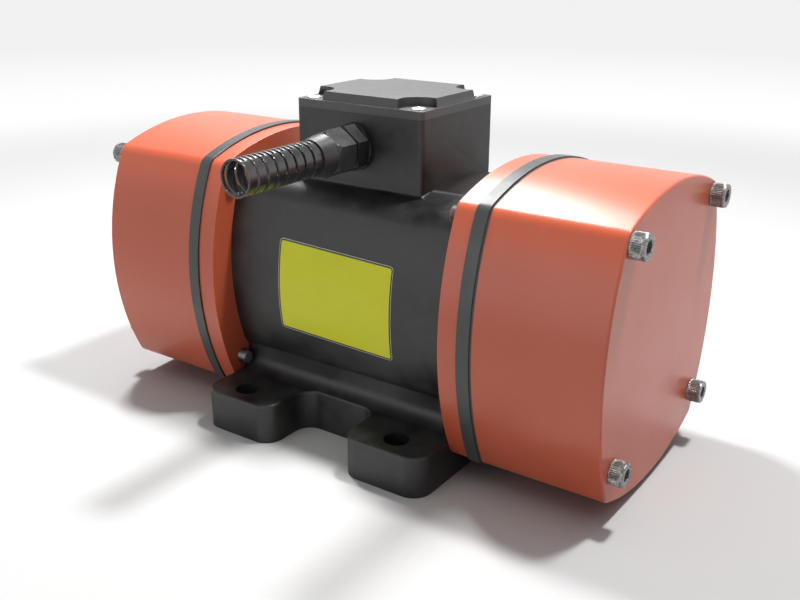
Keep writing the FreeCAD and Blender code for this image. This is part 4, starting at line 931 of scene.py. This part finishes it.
@dataclass
class Gland:
    """Cable gland whose dome nut ends in a thin tail, slit from alternate sides."""

    across: float = -1.0
    height: float = 156.3
    root: float = 71.6
    length: float = 51.0
    radius: float = 8.88
    wall: float = 1.0
    slits: int = 16
    slit_share: float = 0.44
    web_middle: float = 7.0
    web_half: float = 57.0
    overlap: float = 0.05
    rounding: float = 0.2
    rounding_angle: float = 60.0
    points: int = 72

    def build(self) -> None:
        """Builds washer, gland body, dome nut and tail."""
        Casting("gland_washer", width=0.2).build()
        # The gland body takes the darker plastic: painted shade.
        Casting("gland_body", width=0.25, angle=45.0, crease=24.0, merge_flats=False,
                coat=Finishes.SHADE_PAINTED_PLASTIC).build()
        Casting("gland_nut", width=0.25, angle=45.0, crease=24.0, merge_flats=False,
                shape=self.cut_tail).build()
        Piece("gland_tail", "housing", "gland_plastic", [Finishes.TAIL], mesh=self.tail()).finish()

    def cut_tail(self, mesh: bmesh.types.BMesh) -> None:
        """Takes the plain tail off the nut.

        Args:
            mesh: The mesh of the dome nut.
        """
        cut(mesh, (0.0, (self.overlap - self.root) * MM, 0.0), (0.0, -1.0, 0.0), clear_outer=True)
        bmesh.ops.bridge_loops(mesh, edges=[edge for edge in mesh.edges if edge.is_boundary])

    def is_slit(self, face: bmesh.types.BMFace) -> bool:
        """Tells whether a face of the tail's skin lies in a slit.

        Args:
            face: A face of the skin.

        Returns:
            True when the slit takes it away.
        """
        middle = face.calc_center_median()
        number, share = divmod(middle.z / MM * self.slits / self.length, 1.0)
        web = self.web_middle + (180.0 if number % 2 == 0 else 0.0)
        turn = (math.degrees(math.atan2(middle.y, middle.x)) - web + 180.0) % 360.0 - 180.0
        return share < self.slit_share and abs(turn) > self.web_half

    def tail(self) -> bmesh.types.BMesh:
        """Models the thin tail.

        Returns:
            The tail in the place where it hangs on the nut.
        """
        mesh = bmesh.new()
        spindle = Spindle(mesh, self.points)
        pitch = self.length / self.slits
        for number in range(self.slits):
            spindle.loop(number * pitch, round_shape(self.radius))
            spindle.loop((number + self.slit_share) * pitch, round_shape(self.radius))
        spindle.loop(self.length, round_shape(self.radius))
        bmesh.ops.delete(mesh, geom=[face for face in mesh.faces if self.is_slit(face)], context="FACES")
        bmesh.ops.recalc_face_normals(mesh, faces=mesh.faces)
        skin = mesh.faces[0]
        if skin.normal.xy.dot(skin.calc_center_median().xy) < 0:
            bmesh.ops.reverse_faces(mesh, faces=mesh.faces)
        bmesh.ops.solidify(mesh, geom=mesh.faces[:], thickness=self.wall * MM)
        bmesh.ops.recalc_face_normals(mesh, faces=mesh.faces)
        round_edges(mesh, self.rounding, self.rounding_angle)
        place = Vector((self.across, -self.root, self.height)) * MM
        lay = Matrix.Translation(place) @ Matrix.Rotation(math.pi / 2, 4, "X")
        bmesh.ops.transform(mesh, matrix=lay, verts=mesh.verts)
        return mesh


class Insides:
    """Finishes for the nodes that keep their CAD shape."""

    def build(self) -> None:
        """Gives each node that still shows its finish."""
        for name, node in frame["nodes"].items():
            if node.hide_render:
                continue
            material = SLOT_FINISHES[record_slot(name)].material()
            node.data.materials.clear()
            node.data.materials.append(material)
            LOG.info("%s keeps its shape", name)


# Studio


@dataclass
class Lamp:
    """A rectangular studio lamp."""

    name: str
    place: Place
    target: Place
    size: tuple[float, float]
    power: float
    lit: bool = True
    shiny: bool = True

    def build(self) -> None:
        """Adds the lamp."""
        data = bpy.data.lights.new(self.name, "AREA")
        data.shape = "RECTANGLE"
        data.size, data.size_y = self.size
        data.energy = self.power
        lamp = bpy.data.objects.new(self.name, data)
        bpy.context.scene.collection.objects.link(lamp)
        aim = Vector(self.target) - Vector(self.place)
        lamp.location = self.place
        lamp.visible_diffuse = self.lit
        lamp.visible_glossy = self.shiny
        lamp.rotation_euler = aim.to_track_quat("-Z", "Y").to_euler()


@dataclass
class Studio:
    """Floor, backdrop, lamps and camera, in metres and degrees."""

    place: Place = (0.29002, -0.41929, 0.25339)
    yaw: float = 34.49
    pitch: float = 20.47
    roll: float = 0.25
    lens: float = 43.30
    floor_size: float = 30.0
    overhead: float = 1.2
    around: float = 0.05
    backdrop: float = 0.95
    ceiling: float = 0.12
    fade_start: float = 0.62
    fade_end: float = 2.2
    fade_width: float = 1.8
    far_floor: float = 0.885
    horizon: float = 0.12
    ceiling_rise: tuple[float, float] = (0.3, 0.8)
    overhead_focus: float = 4.0
    floor_color: Color = (0.42, 0.412, 0.405)
    seen_floor_color: Color = (0.55, 0.55, 0.55)
    middle: Place = (0.0, 0.0, 0.08)
    shoulder: Place = (0.09, -0.052, 0.15)

    def build(self) -> None:
        """Builds the studio."""
        self.camera()
        self.world()
        self.floor()
        Lamp("RightLamp", (0.32, 0.23, 1.19), self.middle, (0.12, 0.12), 12.3).build()
        Lamp("LeftLamp", (-0.48, 0.23, 1.12), self.middle, (0.15, 0.15), 13.4, shiny=False).build()
        Lamp("SheenLamp", (-0.444, 0.489, 1.01), self.shoulder, (0.4, 0.4), 11.5, lit=False).build()
        Lamp("FrontLamp", (-0.3, -1.2, 0.22), self.middle, (0.9, 0.7), 2.0).build()

    def camera(self) -> None:
        """Adds the camera at the viewing angle."""
        yaw, pitch, roll = (math.radians(angle) for angle in (self.yaw, self.pitch, self.roll))
        back = Vector((math.sin(yaw) * math.cos(pitch), -math.cos(yaw) * math.cos(pitch), math.sin(pitch)))
        right = (-back).cross(Vector((0.0, 0.0, 1.0))).normalized()
        up = right.cross(-back)
        side = right * math.cos(roll) + up * math.sin(roll)
        top = -right * math.sin(roll) + up * math.cos(roll)
        data = bpy.data.cameras.new("Camera")
        data.lens = self.lens
        data.sensor_width = 36.0
        data.clip_start = 0.01
        camera = bpy.data.objects.new("Camera", data)
        bpy.context.scene.collection.objects.link(camera)
        camera.matrix_world = Matrix.Translation(self.place) @ Matrix((side, top, back)).transposed().to_4x4()
        bpy.context.scene.camera = camera

    def world(self) -> None:
        """Lights the room softly and shows it white to camera and gloss."""
        world = bpy.data.worlds.new("Room")
        bpy.context.scene.world = world
        world.use_nodes = True
        world.node_tree.nodes.clear()
        graph = Graph(world.node_tree)
        rays = graph.add("LightPath")
        seen = graph.math("MAXIMUM", rays.outputs["Is Camera Ray"], rays.outputs["Is Glossy Ray"])
        toward = graph.add("TexCoord").outputs["Generated"]
        rise = graph.math("MAXIMUM", graph.add("SeparateXYZ", {0: toward}).outputs["Z"], 0.0)
        soft = graph.math("MULTIPLY", graph.math("POWER", rise, self.overhead_focus), self.overhead)
        soft = graph.math("MULTIPLY", graph.math("SUBTRACT", 1.0, seen), graph.math("ADD", soft, self.around))
        plain = graph.ramp(rise, *self.ceiling_rise, self.backdrop, self.ceiling)
        meet = graph.ramp(rise, 0.0, self.horizon, self.far_floor / self.backdrop, 1.0)
        plain = graph.math("MULTIPLY", seen, graph.math("MULTIPLY", plain, meet))
        strength = graph.math("ADD", soft, plain)
        room = graph.add("Background", {"Color": (1.0, 1.0, 1.0, 1.0), "Strength": strength})
        graph.add("OutputWorld", {"Surface": room.outputs[0]})

    def floor(self) -> None:
        """Adds the pale floor, which keeps the object's shadow."""
        mesh = bmesh.new()
        bmesh.ops.create_grid(mesh, x_segments=1, y_segments=1, size=self.floor_size / 2)
        data = bpy.data.meshes.new("floor")
        mesh.to_mesh(data)
        mesh.free()
        material = bpy.data.materials.new("PaleFloor")
        material.use_nodes = True
        material.node_tree.nodes.clear()
        graph = Graph(material.node_tree)
        rays = graph.add("LightPath")
        seen = graph.math("MAXIMUM", rays.outputs["Is Camera Ray"], rays.outputs["Is Glossy Ray"])
        reach = graph.add("VectorMath", {0: graph.place()}, operation="LENGTH").outputs["Value"]
        white_start = self.fade_start * self.fade_width
        far = graph.ramp(reach, self.fade_start, white_start)
        glow = graph.ramp(reach, white_start, self.fade_end, 1.0, self.far_floor)
        color = graph.mix(seen, self.floor_color, self.seen_floor_color)
        near = graph.add("BsdfDiffuse", {"Color": color})
        backdrop = graph.add("Emission", {"Color": (1.0, 1.0, 1.0, 1.0), "Strength": glow})
        share = graph.math("MULTIPLY", seen, far)
        shader = graph.add("MixShader", {0: share, 1: near.outputs[0], 2: backdrop.outputs[0]})
        graph.add("OutputMaterial", {"Surface": shader.outputs[0]})
        data.materials.append(material)
        floor = bpy.data.objects.new("floor", data)
        bpy.context.scene.collection.objects.link(floor)


def main() -> None:
    """Builds the dressed motor and its studio."""
    logging.basicConfig(level=logging.INFO, format="%(name)s: %(message)s")
    bpy.context.scene.view_settings.view_transform = "Standard"
    Studio().build()
    body = Body()
    body.build()
    for side in Side:
        Covers(side).build()
    Plate(body).build()
    TerminalBox().build()
    Gland().build()
    Insides().build()


if __name__ == "__main__":
    main()
